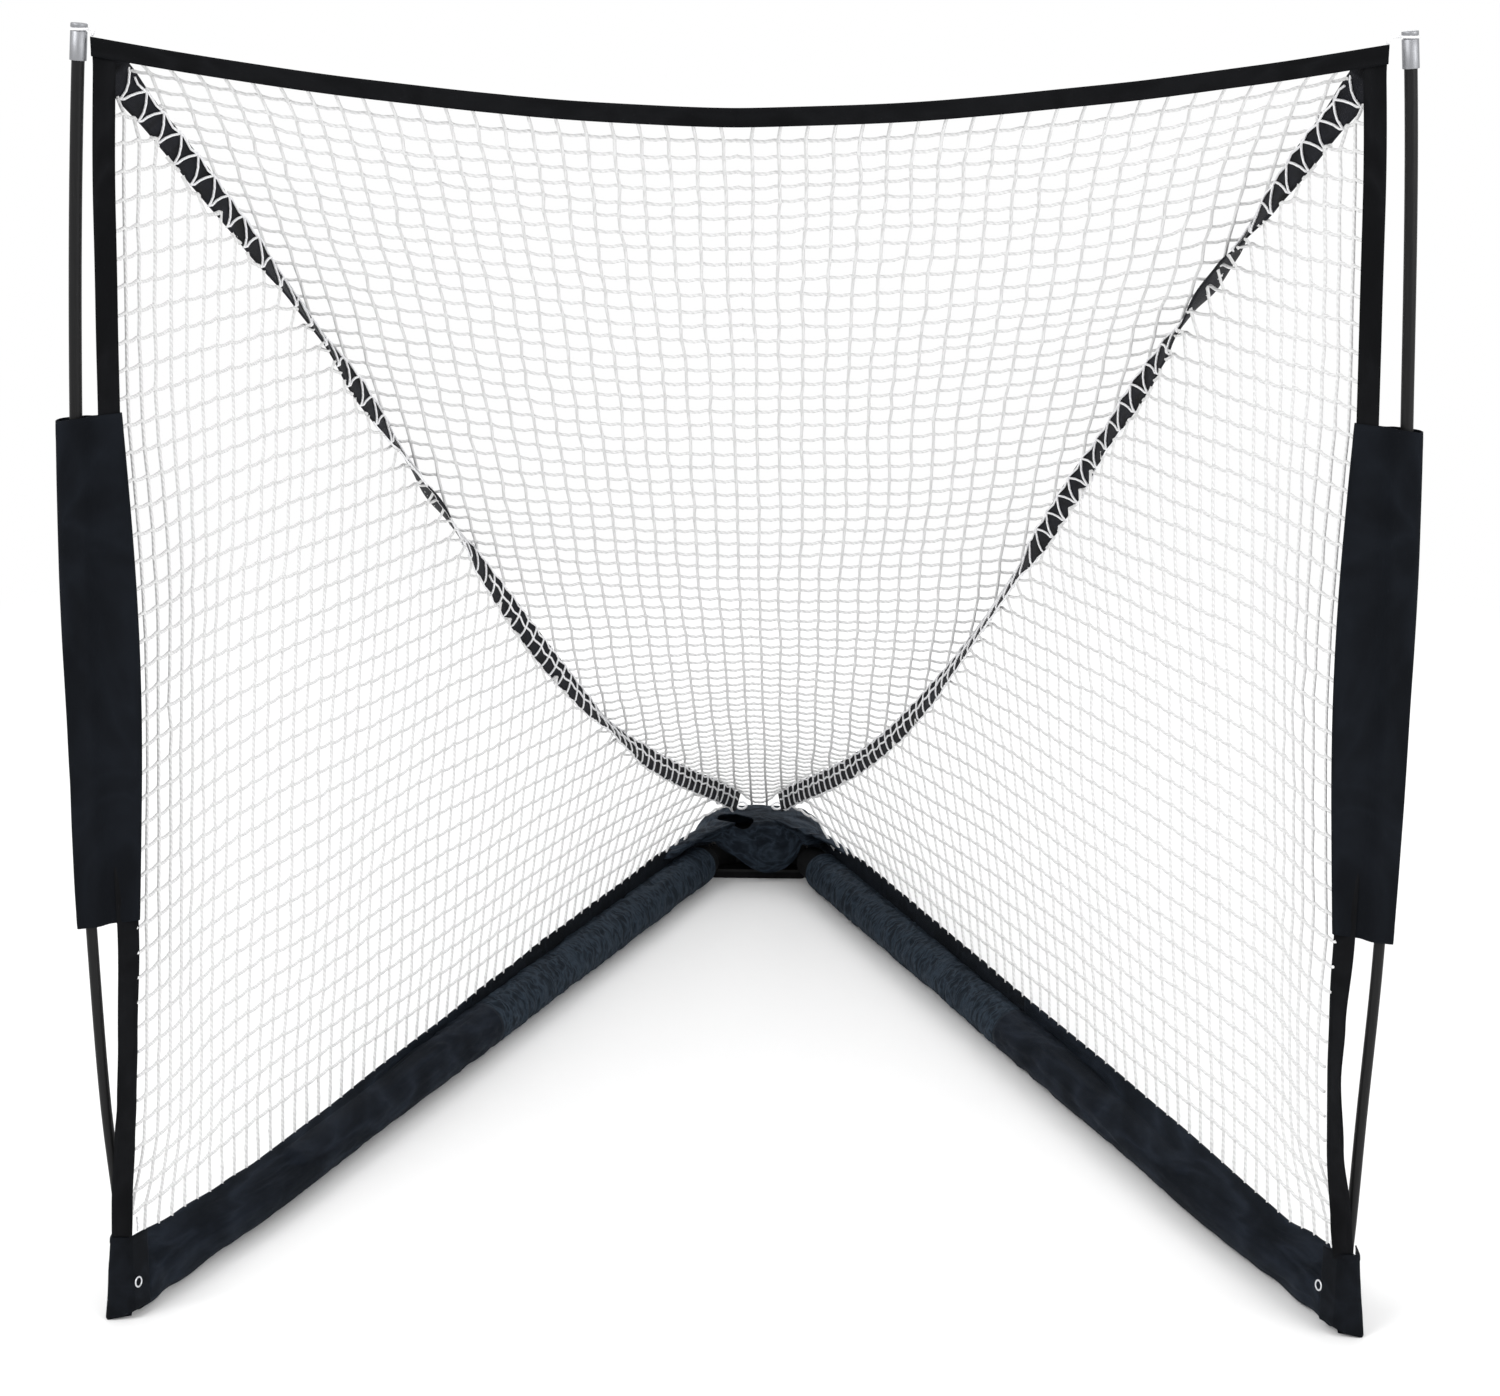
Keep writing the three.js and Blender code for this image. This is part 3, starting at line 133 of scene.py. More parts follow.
def start_group(name, inputs, outputs):
    """A node group with named inputs (name, kind, value) and outputs (name, kind)."""
    group = bpy.data.node_groups.new(name, "ShaderNodeTree")
    for label, kind, value in inputs:
        socket = group.interface.new_socket(label, in_out="INPUT", socket_type=kind)
        if value is not None:
            socket.default_value = value
    for label, kind in outputs:
        group.interface.new_socket(label, in_out="OUTPUT", socket_type=kind)
    entry = group.nodes.new("NodeGroupInput")
    leave = group.nodes.new("NodeGroupOutput")
    return group, entry, leave


def use_group(tree, group, inputs=()):
    return add_node(tree, "ShaderNodeGroup", inputs, node_tree=group)


def mixed(tree, share, first, second, blend="MIX"):
    """Two colours mixed by a share, or blended in another of the node's ways."""
    node = add_node(tree, "ShaderNodeMix", data_type="RGBA", blend_type=blend, inputs=[
        (0, share), (6, first), (7, second)])
    return node.outputs[2]


def bumped(tree, strength, distance, height, over=None):
    """A bump from a height in metres, laid over another bump's normal if one is given."""
    inputs = [("Strength", strength), ("Distance", distance), ("Height", height)]
    if over is not None:
        inputs.append(("Normal", over))
    return add_node(tree, "ShaderNodeBump", inputs).outputs["Normal"]


def noisy(tree, place, scale, detail, distortion=0.0):
    return add_node(tree, "ShaderNodeTexNoise", [
        ("Vector", place), ("Scale", scale), ("Detail", detail), ("Distortion", distortion)])


def stretch_by(tree, place, stretch):
    """Coordinates multiplied by a vector, so that a noise on them is long one way."""
    node = add_node(tree, "ShaderNodeVectorMath", operation="MULTIPLY", inputs=[
        (0, place), (1, stretch)])
    return node.outputs[0]


FLOAT = "NodeSocketFloat"
VECTOR = "NodeSocketVector"
print("node helpers ready")

# %% [markdown]
# Woven cloth is two sets of threads that take turns on top. A wave along U gives one set, a wave
# along V the other, and a checker picks which shows. The group puts out the height for a bump
# and a shade for the gaps between the threads. The cloth's UV maps are in metres, so the thread
# count is a real one.

# %% Group: weave
GAP_SHADE = 0.7
weave_group, entry, leave = start_group(
    "weave",
    [("Vector", VECTOR, None), ("Threads per metre", FLOAT, 900.0)],
    [("Height", FLOAT), ("Shade", FLOAT)])
spread = add_node(weave_group, "ShaderNodeVectorMath", operation="SCALE", inputs=[
    (0, entry.outputs["Vector"]), ("Scale", entry.outputs["Threads per metre"])])
split = add_node(weave_group, "ShaderNodeSeparateXYZ", [(0, spread.outputs[0])])
warp = math_node(weave_group, "SINE", math_node(weave_group, "MULTIPLY", split.outputs["X"], math.pi))
weft = math_node(weave_group, "SINE", math_node(weave_group, "MULTIPLY", split.outputs["Y"], math.pi))
turn_about = add_node(weave_group, "ShaderNodeTexChecker", [("Vector", spread.outputs[0]), ("Scale", 1.0)])
on_top = add_node(weave_group, "ShaderNodeMix", [
    (0, turn_about.outputs["Fac"]),
    (2, math_node(weave_group, "ABSOLUTE", warp)),
    (3, math_node(weave_group, "ABSOLUTE", weft))])
weave_group.links.new(on_top.outputs[0], leave.inputs["Height"])
shade = math_node(weave_group, "MULTIPLY_ADD", on_top.outputs[0], 1 - GAP_SHADE, GAP_SHADE)
weave_group.links.new(shade, leave.inputs["Shade"])
print("group:", weave_group.name)

# %% [markdown]
# Cloth that has been packed and unfolded is covered in soft creases that catch the light. Two
# stretched noises, one long and one short, give them. The same noise gives a mask of the crests,
# which the cloths use for a painted highlight where the light would catch them.

# %% Group: creases
SMALL_CREASES = 4.0
SMALL_DEPTH = 0.25
RIDGE_RANGE = (0.75, 1.2)
crease_group, entry, leave = start_group(
    "creases",
    [("Vector", VECTOR, None), ("Stretch", VECTOR, (1.0, 1.0, 1.0)), ("Scale", FLOAT, 12.0)],
    [("Height", FLOAT), ("Ridges", FLOAT)])
stretched = stretch_by(crease_group, entry.outputs["Vector"], entry.outputs["Stretch"])
broad = noisy(crease_group, stretched, entry.outputs["Scale"], 3.0, 0.6)
folded = math_node(crease_group, "ABSOLUTE", math_node(
    crease_group, "MULTIPLY_ADD", broad.outputs["Fac"], 2.0, -1.0))
ridge = math_node(crease_group, "SUBTRACT", 1.0, folded)
small_scale = math_node(crease_group, "MULTIPLY", entry.outputs["Scale"], SMALL_CREASES)
small = noisy(crease_group, stretched, small_scale, 2.0)
height = math_node(crease_group, "MULTIPLY_ADD", small.outputs["Fac"], SMALL_DEPTH, ridge)
crease_group.links.new(height, leave.inputs["Height"])
# The crests as a mask, which the cloths and the webbing use to paint a highlight.
ridges = add_node(crease_group, "ShaderNodeMapRange", [
    ("Value", height), ("From Min", RIDGE_RANGE[0]), ("From Max", RIDGE_RANGE[1])])
crease_group.links.new(ridges.outputs["Result"], leave.inputs["Ridges"])
print("group:", crease_group.name)

# %% [markdown]
# Metal and plastic parts pick up fine scratches and a change of sheen where they are handled.
# A streaky noise gives the scratches, a soft one the smudges.

# %% Group: handling
SCRATCHES_PER_SMUDGE = 12.0
handling_group, entry, leave = start_group(
    "handling",
    [("Vector", VECTOR, None), ("Streak", VECTOR, (1.0, 1.0, 1.0)), ("Scale", FLOAT, 40.0)],
    [("Scratches", FLOAT), ("Smudges", FLOAT)])
drawn = stretch_by(handling_group, entry.outputs["Vector"], entry.outputs["Streak"])
scratch_scale = math_node(handling_group, "MULTIPLY", entry.outputs["Scale"], SCRATCHES_PER_SMUDGE)
lines = noisy(handling_group, drawn, scratch_scale, 2.0)
smudges = noisy(handling_group, entry.outputs["Vector"], entry.outputs["Scale"], 3.0)
handling_group.links.new(lines.outputs["Fac"], leave.inputs["Scratches"])
handling_group.links.new(smudges.outputs["Fac"], leave.inputs["Smudges"])
print("group:", handling_group.name)

# %% [markdown]
# The sleeves, corners, pockets, bands and hub cover are one family: coated polyester, nearly
# black with a blue cast, weave too fine to see from a step away, and creases that show as
# grey-blue lights. They differ in how creased they are, so one function makes them all.

# %% Materials: cloths
CREASE_POWER = 2.0
THREAD_DEPTH = 0.0002
FOLD_ROUGHNESS = 0.78
RIDGE_GLOSS = 0.12


def cloth_material(name, colour, light, creases, stretch, crease_scale, threads=1100.0, wear_and_highlight=1.0):
    """Colour is the cloth between the crests, light the painted highlight on them, creases the bump's
    depth in metres.
    """
    material, tree, shader = start_material(
        name, colour, 0.75, Sheen_Weight=0.02, Sheen_Roughness=0.5,
        Sheen_Tint=rgba((0.5, 0.65, 0.85)), Specular_IOR_Level=0.06)
    flat = coordinates(tree, "UV")
    cloth = use_group(tree, weave_group, [("Vector", flat), ("Threads per metre", threads)])
    folds = use_group(tree, crease_group, [
        ("Vector", flat), ("Stretch", stretch), ("Scale", crease_scale)])
    # Painted highlight: the crests of the creases are mixed towards the light colour, as if lit.
    sharp = math_node(tree, "POWER", folds.outputs["Ridges"], CREASE_POWER)
    mask = math_node(tree, "MULTIPLY", sharp, wear_and_highlight)
    tone = mixed(tree, mask, rgba(colour), rgba(light))
    woven = mixed(tree, 1.0, tone, cloth.outputs["Shade"], "MULTIPLY")
    tree.links.new(woven, shader.inputs["Base Color"])
    folded = bumped(tree, 1.0, creases, folds.outputs["Height"])
    threaded = bumped(tree, 0.5, THREAD_DEPTH, cloth.outputs["Height"], over=folded)
    tree.links.new(threaded, shader.inputs["Normal"])
    rough = math_node(tree, "MULTIPLY_ADD", mask, -RIDGE_GLOSS, FOLD_ROUGHNESS)
    tree.links.new(rough, shader.inputs["Roughness"])
    return material


NAVY = (0.0036, 0.0052, 0.0080)
BLACK = (0.0030, 0.0031, 0.0036)
sleeve_cloth = cloth_material(
    "sleeve_cloth", (0.0074, 0.0110, 0.0162), (0.036, 0.052, 0.072), 0.0026, (1.0, 2.2, 1.0), 26.0)
skirt_cloth = cloth_material(
    "skirt_cloth", NAVY, (0.018, 0.024, 0.036), 0.0016, (1.6, 0.7, 1.0), 7.0, wear_and_highlight=0.7)
cover_cloth = cloth_material(
    "cover_cloth", (0.0060, 0.0088, 0.0134), (0.028, 0.040, 0.056), 0.0024, (1.0, 1.4, 1.0), 20.0)
pocket_cloth = cloth_material(
    "pocket_cloth", (0.0038, 0.0046, 0.0064), (0.0075, 0.0095, 0.0135), 0.0006, (1.4, 0.5, 1.0), 9.0)
band_cloth = cloth_material(
    "band_cloth", BLACK, (0.0065, 0.0068, 0.008), 0.0004, (1.0, 0.4, 1.0), 14.0, 900.0)
corner_cloth = cloth_material(
    "corner_cloth", (0.0034, 0.0041, 0.0055), (0.0075, 0.0095, 0.0135), 0.0007, (1.0, 1.0, 1.0), 12.0)
print("cloths:", sleeve_cloth.name, skirt_cloth.name, cover_cloth.name, pocket_cloth.name)

# %% [markdown]
# The straps are ribbed webbing: fine ribs that run the strap's length. A wave across U gives the
# ribs. The net and its lacing are twisted cord, and a slanted wave on object coordinates makes
# the strands wherever the cord runs.

# %% Materials: webbing and cords
RIB_DEPTH = 0.0004
STRAND_DEPTH = 0.0006
FUZZ_SCALE = 900.0
WEBBING_HIGHLIGHT = (0.011, 0.012, 0.017)
webbing, tree, shader = start_material(
    "webbing", BLACK, 0.7, Sheen_Weight=0.04, Specular_IOR_Level=0.15)
flat = coordinates(tree, "UV")
ribs = add_node(tree, "ShaderNodeTexWave", [
    ("Vector", flat), ("Scale", 160.0), ("Distortion", 0.4)], bands_direction="X")
picks = add_node(tree, "ShaderNodeTexWave", [("Vector", flat), ("Scale", 300.0)], bands_direction="Y")
woven = math_node(tree, "MULTIPLY_ADD", picks.outputs["Fac"], 0.35, ribs.outputs["Fac"])
tree.links.new(bumped(tree, 0.8, RIB_DEPTH, woven), shader.inputs["Normal"])
# Painted highlight: the crests of a crease noise are mixed towards a lighter blue-grey, as if lit.
wear_and_highlight = use_group(tree, crease_group, [("Vector", flat), ("Scale", 20.0)])
tone = mixed(tree, wear_and_highlight.outputs["Ridges"], rgba(BLACK), rgba(WEBBING_HIGHLIGHT))
tree.links.new(tone, shader.inputs["Base Color"])


def cord_material(name, colour, shade, roughness, strands):
    """Twisted cord: colour on the strands, shade in the grooves between them."""
    material, tree, shader = start_material(name, colour, roughness, Sheen_Weight=0.15)
    place = coordinates(tree)
    lay = add_node(tree, "ShaderNodeTexWave", [
        ("Vector", place), ("Scale", strands), ("Distortion", 1.5), ("Detail", 1.0)],
        bands_direction="DIAGONAL")
    fuzz = noisy(tree, place, FUZZ_SCALE, 2.0)
    height = math_node(tree, "MULTIPLY_ADD", fuzz.outputs["Fac"], 0.5, lay.outputs["Fac"])
    tree.links.new(bumped(tree, 0.9, STRAND_DEPTH, height), shader.inputs["Normal"])
    tone = mixed(tree, lay.outputs["Fac"], rgba(shade), rgba(colour))
    tree.links.new(tone, shader.inputs["Base Color"])
    return material


net_cord = cord_material("net_cord", (0.76, 0.76, 0.76), (0.65, 0.65, 0.65), 0.85, 70.0)
lacing_cord = cord_material("lacing_cord", (0.95, 0.95, 0.96), (0.80, 0.80, 0.82), 0.75, 90.0)
print("cords:", net_cord.name, lacing_cord.name)

# %% [markdown]
# Poles are charcoal glass fibre with a soft sheen and faint lengthwise streaks. Caps are turned
# aluminium, brushed along their length. Hub plates, lugs and tubes are powder coated, fasteners
# and eyelets are zinc plated, the base pad is rubber and the padding is closed foam.

# %% Materials: poles and hardware
def hard_material(name, colour, wear_and_highlight, roughness, metallic, streak, scale, depth, swing, gloss=0.5):
    """Handled metal, paint or plastic. Swing is how far the smudges change the roughness."""
    material, tree, shader = start_material(
        name, colour, roughness, Metallic=metallic, Specular_IOR_Level=gloss)
    place = coordinates(tree)
    marks = use_group(tree, handling_group, [("Vector", place), ("Streak", streak), ("Scale", scale)])
    tone = mixed(tree, marks.outputs["Scratches"], rgba(colour), rgba(wear_and_highlight))
    tree.links.new(tone, shader.inputs["Base Color"])
    rough = math_node(tree, "MULTIPLY_ADD", marks.outputs["Smudges"], swing, roughness - swing / 2)
    tree.links.new(rough, shader.inputs["Roughness"])
    tree.links.new(bumped(tree, 0.5, depth, marks.outputs["Scratches"]), shader.inputs["Normal"])
    return material


EVEN = (1.0, 1.0, 1.0)
UPRIGHT = (1.0, 1.0, 0.03)
pole_fibre = hard_material(
    "pole_fibre", (0.0030, 0.0030, 0.0033), (0.011, 0.011, 0.0115), 0.42, 0.0, UPRIGHT, 60.0, 0.0002,
    0.2, 0.18)
cap_metal = hard_material(
    "cap_metal", (0.23, 0.235, 0.25), (0.38, 0.385, 0.40), 0.48, 1.0, UPRIGHT, 90.0, 0.0003, 0.15)
zinc_plate = hard_material(
    "zinc_plate", (0.60, 0.61, 0.63), (0.75, 0.76, 0.78), 0.32, 1.0, EVEN, 80.0, 0.0001, 0.2)
painted_steel = hard_material(
    "painted_steel", (0.005, 0.0052, 0.0056), (0.010, 0.0105, 0.011), 0.55, 0.0, EVEN, 120.0, 0.0002,
    0.15, 0.2)
base_rubber = hard_material(
    "base_rubber", (0.004, 0.004, 0.0044), (0.008, 0.008, 0.0085), 0.9, 0.0, EVEN, 150.0, 0.0004, 0.1, 0.1)
foam = hard_material(
    "foam", (0.0050, 0.0052, 0.0058), (0.008, 0.0085, 0.0095), 0.95, 0.0, EVEN, 200.0, 0.0008, 0.05, 0.08)

node_finishes = {
    "hub_base_pad": base_rubber, "hub_lower_plate": painted_steel, "hub_upper_plate": painted_steel,
    "hub_spacer": painted_steel, "hinge_lug": painted_steel, "rear_tube": painted_steel,
    "front_tube": painted_steel, "hinge_bolt": zinc_plate, "hinge_nut": zinc_plate,
    "snap_button": zinc_plate, "pole_ferrule": zinc_plate,
}
finished = 0
for name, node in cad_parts.items():
    for key, material in node_finishes.items():
        if key in name:
            node.data.materials.clear()
            node.data.materials.append(material)
            finished += 1
print("hardware finished:", finished, "nodes")

# %% [markdown]
# The stage is a wide white floor with soft lamps. The floor takes the goal's shadow near the
# goal and fades to plain white further out, so no horizon shows. The world is white to the
# camera and to mirrors, and a soft grey light to everything else.

# %% Stage and lamps
FLOOR_HALF = 30.0
FLOOR_FADE = (2.6, 4.2)
WORLD_LEVEL = 0.85
WHITE = (1.0, 1.0, 1.0)


def seen_or_mirrored(tree):
    """1 for rays from the camera, from a mirror or through glass."""
    path = add_node(tree, "ShaderNodeLightPath")
    seen = math_node(tree, "MAXIMUM", path.outputs["Is Camera Ray"], path.outputs["Is Glossy Ray"])
    return math_node(tree, "MAXIMUM", seen, path.outputs["Is Transmission Ray"])


floor_mesh = bpy.data.meshes.new("floor")
sheet = bmesh.new()
bmesh.ops.create_grid(sheet, x_segments=1, y_segments=1, size=FLOOR_HALF)
sheet.to_mesh(floor_mesh)
sheet.free()
floor = bpy.data.objects.new("floor", floor_mesh)
bpy.context.collection.objects.link(floor)
floor_paint, tree, shader = start_material("floor_paint", (0.92, 0.92, 0.92), 0.9)
floor_mesh.materials.append(floor_paint)
middle = add_node(tree, "ShaderNodeVectorMath", operation="DISTANCE", inputs=[
    (0, coordinates(tree)), (1, (0.0, -1.0, 0.0))])
far = add_node(tree, "ShaderNodeMapRange", interpolation_type="SMOOTHSTEP", inputs=[
    ("Value", middle.outputs["Value"]), ("From Min", FLOOR_FADE[0]), ("From Max", FLOOR_FADE[1])])
glow = add_node(tree, "ShaderNodeEmission", [("Color", rgba(WHITE)), ("Strength", 1.0)])
fade = math_node(tree, "MULTIPLY", far.outputs["Result"], seen_or_mirrored(tree))
both = add_node(tree, "ShaderNodeMixShader", [
    (0, fade), (1, shader.outputs[0]), (2, glow.outputs[0])])
tree.links.new(both.outputs[0], tree.nodes["Material Output"].inputs["Surface"])

world = bpy.data.worlds.new("world")
bpy.context.scene.world = world
world.use_nodes = True
tree = world.node_tree
soft_light = tree.nodes["Background"]
soft_light.inputs["Color"].default_value = rgba(WHITE)
soft_light.inputs["Strength"].default_value = WORLD_LEVEL
white_view = add_node(tree, "ShaderNodeBackground", [("Color", rgba(WHITE)), ("Strength", 1.0)])
both = add_node(tree, "ShaderNodeMixShader", [
    (0, seen_or_mirrored(tree)), (1, soft_light.outputs[0]), (2, white_view.outputs[0])])
tree.links.new(both.outputs[0], tree.nodes["World Output"].inputs["Surface"])

lamps = [
    # name, place, size, power
    ("key", (-3.6, -5.2, 5.0), 3.0, 190.0),
    ("fill", (4.4, -5.0, 3.0), 3.6, 125.0),
    ("back", (0.5, 4.5, 4.5), 3.4, 110.0),
]
LAMP_TARGET = Vector((0.0, -1.0, 0.6))
for name, place, size, power in lamps:
    lamp = bpy.data.objects.new(name, bpy.data.lights.new(name, "AREA"))
    lamp.data.size = size
    lamp.data.energy = power
    lamp.location = place
    lamp.rotation_euler = (LAMP_TARGET - Vector(place)).to_track_quat("-Z", "Y").to_euler()
    bpy.context.collection.objects.link(lamp)
print("lamps:", [name for name, *_ in lamps])

# %% [markdown]
# The soft parts follow lines that the frame holds: the bowed poles, the bands between them, the
# arms and the straps. These are the same curves that the frame was built from, in metres.
# Distances are measured outward from the middle of the goal, and side is -1 for the left and 1
# for the right. Listed keys and an easing between them give each line its own shape.

# %% Lines of the goal
LEFT, RIGHT = -1, 1
SIDES = {"left": LEFT, "right": RIGHT}
SIDE_NAMES = {LEFT: "left", RIGHT: "right"}
MOUTH = -2.110
POLE_TOP = 1.868
POLE_FOOT_X = 0.8886
POLE_TIP_X = 0.8692
POLE_BOW = 0.0358
PIVOT_X = 0.045
ARM_OFFSET = 0.040
TUBE_HEIGHT = 0.042
CORNER_HEIGHT = 0.132
CORNER_BACK = 0.017


def clamp(value, low=0.0, high=1.0):
    return min(max(value, low), high)


def smooth(value, low, high):
    share = clamp((value - low) / (high - low))
    return share * share * (3 - 2 * share)


def between(value, rise, full, fall, end):
    """1 between full and fall, eased to 0 at rise and at end."""
    return smooth(value, rise, full) * (1 - smooth(value, fall, end))


def mix(a, b, share):
    return a + (b - a) * share


def keyed(keys, at):
    """A value between listed keys (place, value), eased from one key to the next."""
    if at <= keys[0][0]:
        return keys[0][1]
    for (low, first), (high, second) in zip(keys, keys[1:]):
        if at <= high:
            return mix(first, second, smooth(at, low, high))
    return keys[-1][1]


def pole_x(z):
    share = z / POLE_TOP
    return mix(POLE_FOOT_X, POLE_TIP_X, share) + 4 * POLE_BOW * share * (1 - share)


outward = pole_x(TUBE_HEIGHT) - PIVOT_X
arm_angle = math.atan2(outward, -MOUTH) - math.asin(ARM_OFFSET / math.hypot(outward, MOUTH))
arm_length = outward * math.sin(arm_angle) - MOUTH * math.cos(arm_angle)
skirt_end = arm_length - (CORNER_BACK + 0.0003) / math.cos(arm_angle)


def on_arm(side, along, out, z):
    """A point by its distance along the arm from the hinge bolt, outward of the bolt, and up."""
    x = PIVOT_X + along * math.sin(arm_angle) + out * math.cos(arm_angle)
    return Vector((side * x, out * math.sin(arm_angle) - along * math.cos(arm_angle), z))


print("arm:", round(math.degrees(arm_angle), 2), "degrees,", round(arm_length, 3), "m long")

# %% [markdown]
# The side bands run down beside the poles and the top band sags between them. The straps start at
# the mouth's top corners and sag most about two thirds of the way to the hub. Each side band also
# leans and turns near its foot, where it is pulled round the pole, by its own keys on each side.

# %% Bands and straps
BAND_GAP = 0.051
BAND_WIDTH = 0.030
BAND_THICKNESS = 0.0024
BAND_FORWARD = 0.0124
TOP_BAND_HALF = 0.851
TOP_BAND_END = 1.850
TOP_BAND_SAG = 0.087
TOP_BAND_HEIGHT = 0.025
top_band_share = 1.7
band_gap_shares = [
    (0.0, 0.0), (0.045, 0.21), (0.12, 0.5), (0.27, 0.92), (0.42, 0.98), (0.68, 1.0),
    (0.8, 0.94), (0.9, 0.82), (1.0, 0.75),
]
POCKET_BOTTOM = 0.615
POCKET_TOP = 1.345


def band_room(share):
    """The band's distance from the pole, as a share: a curve through the keys."""
    keys = band_gap_shares
    k = max(i for i in range(len(keys) - 1) if keys[i][0] <= max(share, 0.0))
    a, b = keys[k], keys[k + 1]
    before = keys[max(k - 1, 0)]
    after = keys[min(k + 2, len(keys) - 1)]
    t = (share - a[0]) / (b[0] - a[0])
    rise_in = (b[1] - before[1]) / (b[0] - before[0]) * (b[0] - a[0])
    rise_out = (after[1] - a[1]) / (after[0] - a[0]) * (b[0] - a[0])
    return (
        (2 * t ** 3 - 3 * t ** 2 + 1) * a[1] + (t ** 3 - 2 * t ** 2 + t) * rise_in
        + (3 * t ** 2 - 2 * t ** 3) * b[1] + (t ** 3 - t ** 2) * rise_out)


def band_x(z):
    return pole_x(z) - BAND_GAP * band_room(min(z / POLE_TOP, 0.999))


band_lean_keys = {
    # height, how far outward of its plain line the band stands, and degrees that it is turned
    LEFT: [
        (0.13, 0.0135, 0), (0.19, 0.0137, 10), (0.285, 0.0098, 25), (0.346, 0.0067, 38),
        (0.44, 0.0048, 38), (0.615, 0.0, 15), (0.80, 0.0, 0),
    ],
    RIGHT: [
        (0.13, 0.0070, 0), (0.18, 0.0040, 12), (0.30, -0.0057, 50), (0.404, -0.0080, 63),
        (0.486, -0.0050, 53), (0.615, 0.0, 20), (0.80, 0.0, 0),
    ],
}


def band_lean(side, z):
    return keyed([(at, lean) for at, lean, _ in band_lean_keys[side]], z)


def band_turn(side, z):
    return math.radians(keyed([(at, turn) for at, _, turn in band_lean_keys[side]], z))


def band_forward(z):
    return BAND_FORWARD * (1 - smooth(z, POCKET_BOTTOM / 2, POCKET_BOTTOM))


def top_band_edge(x):
    return TOP_BAND_END - TOP_BAND_SAG * (1 - min(abs(x) / TOP_BAND_HALF, 1) ** top_band_share)


STRAP_START = Vector((0.824, -2.102, 1.802))
STRAP_STOP = Vector((0.038, 0.045, 0.132))
STRAP_SAG = 0.157
STRAP_WIDTH = 0.036
STRAP_THICKNESS = 0.0028
STRAP_RUN = 2.83
STRAP_TUCK = 0.007
strap_skew_share = 1.55
strap_round_share = 1.3


def strap_sag(share):
    """How far the strap hangs under a straight line, at a share of its way to the hub."""
    bow = math.sin(math.pi * clamp(share) ** strap_skew_share)
    return STRAP_SAG * max(bow, 0) ** strap_round_share


def strap_centre(side, share):
    point = STRAP_START.lerp(STRAP_STOP, share)
    point.y = max(point.y, STRAP_START.y) + STRAP_TUCK * (1 - smooth(share, 0.0, 0.03))
    point.z -= strap_sag(share)
    point.x *= side
    return point


strap_length = math.hypot(STRAP_STOP.x - STRAP_START.x, STRAP_STOP.y - STRAP_START.y)
print("strap:", round(strap_length, 3), "m in plan")

# %% [markdown]
# Most pieces here are cloth, and cloth is a grid that has been laid on a surface. One helper
# makes the grid, moves its points by a function of two shares and keeps a UV map in metres, so
# weave and stitches have their real size everywhere. A wall is added with a Solidify modifier.

# %% Mesh helpers
def finish_object(name, mesh, material):
    mesh.materials.append(material)
    mesh.shade_smooth()
    piece = bpy.data.objects.new(name, mesh)
    bpy.context.collection.objects.link(piece)
    return piece


def finish_bmesh(name, bm, material):
    mesh = bpy.data.meshes.new(name)
    bm.to_mesh(mesh)
    bm.free()
    return finish_object(name, mesh, material)


def add_wall(piece, thickness, offset):
    """Gives a sheet its thickness: half each way (offset 0) or all inward (offset -1)."""
    solidify = piece.modifiers.new("wall", "SOLIDIFY")
    solidify.thickness = thickness
    solidify.offset = offset


def cloth(name, columns, rows, place, flat, material, closed=False, wall=0.0, offset=0.0, hole=None):
    """A grid laid on a surface. place(u, v) gives a point for shares across and along. Faces
    whose middle is in the hole are left out, and a closed grid is a tube whose edges are joined."""
    bm = bmesh.new()
    bmesh.ops.create_grid(bm, x_segments=columns, y_segments=rows, size=0.5)
    uv = bm.loops.layers.uv.new("UVMap")
    for vertex in bm.verts:
        across, along = vertex.co.x + 0.5, vertex.co.y + 0.5
        for loop in vertex.link_loops:
            loop[uv].uv = (across * flat[0], along * flat[1])
    if hole:
        gone = []
        for face in bm.faces:
            middle = face.calc_center_median()
            if hole(middle.x + 0.5, middle.y + 0.5):
                gone.append(face)
        bmesh.ops.delete(bm, geom=gone, context="FACES")
    for vertex in bm.verts:
        vertex.co = place(vertex.co.x + 0.5, vertex.co.y + 0.5)
    if closed:
        bmesh.ops.remove_doubles(bm, verts=bm.verts, dist=1e-5)
        bmesh.ops.recalc_face_normals(bm, faces=bm.faces)
    piece = finish_bmesh(name, bm, material)
    if wall:
        add_wall(piece, wall, offset)
    return piece


def turned(name, profile, centre, axis, material, steps=48):
    """A round piece: a profile of (height, radius) spun about an axis, closed at both ends."""
    bm = bmesh.new()
    ring = [bm.verts.new((radius, 0, height)) for height, radius in profile]
    for first, second in zip(ring, ring[1:]):
        bm.edges.new((first, second))
    bmesh.ops.spin(
        bm, geom=list(bm.verts) + list(bm.edges), cent=(0, 0, 0), axis=(0, 0, 1),
        angle=2 * math.pi, steps=steps, use_merge=True)
    bmesh.ops.remove_doubles(bm, verts=bm.verts, dist=1e-6)
    bmesh.ops.recalc_face_normals(bm, faces=bm.faces)
    turn = Vector((0, 0, 1)).rotation_difference(Vector(axis)).to_matrix().to_4x4()
    bmesh.ops.transform(bm, matrix=Matrix.Translation(centre) @ turn, verts=bm.verts)
    return finish_bmesh(name, bm, material)


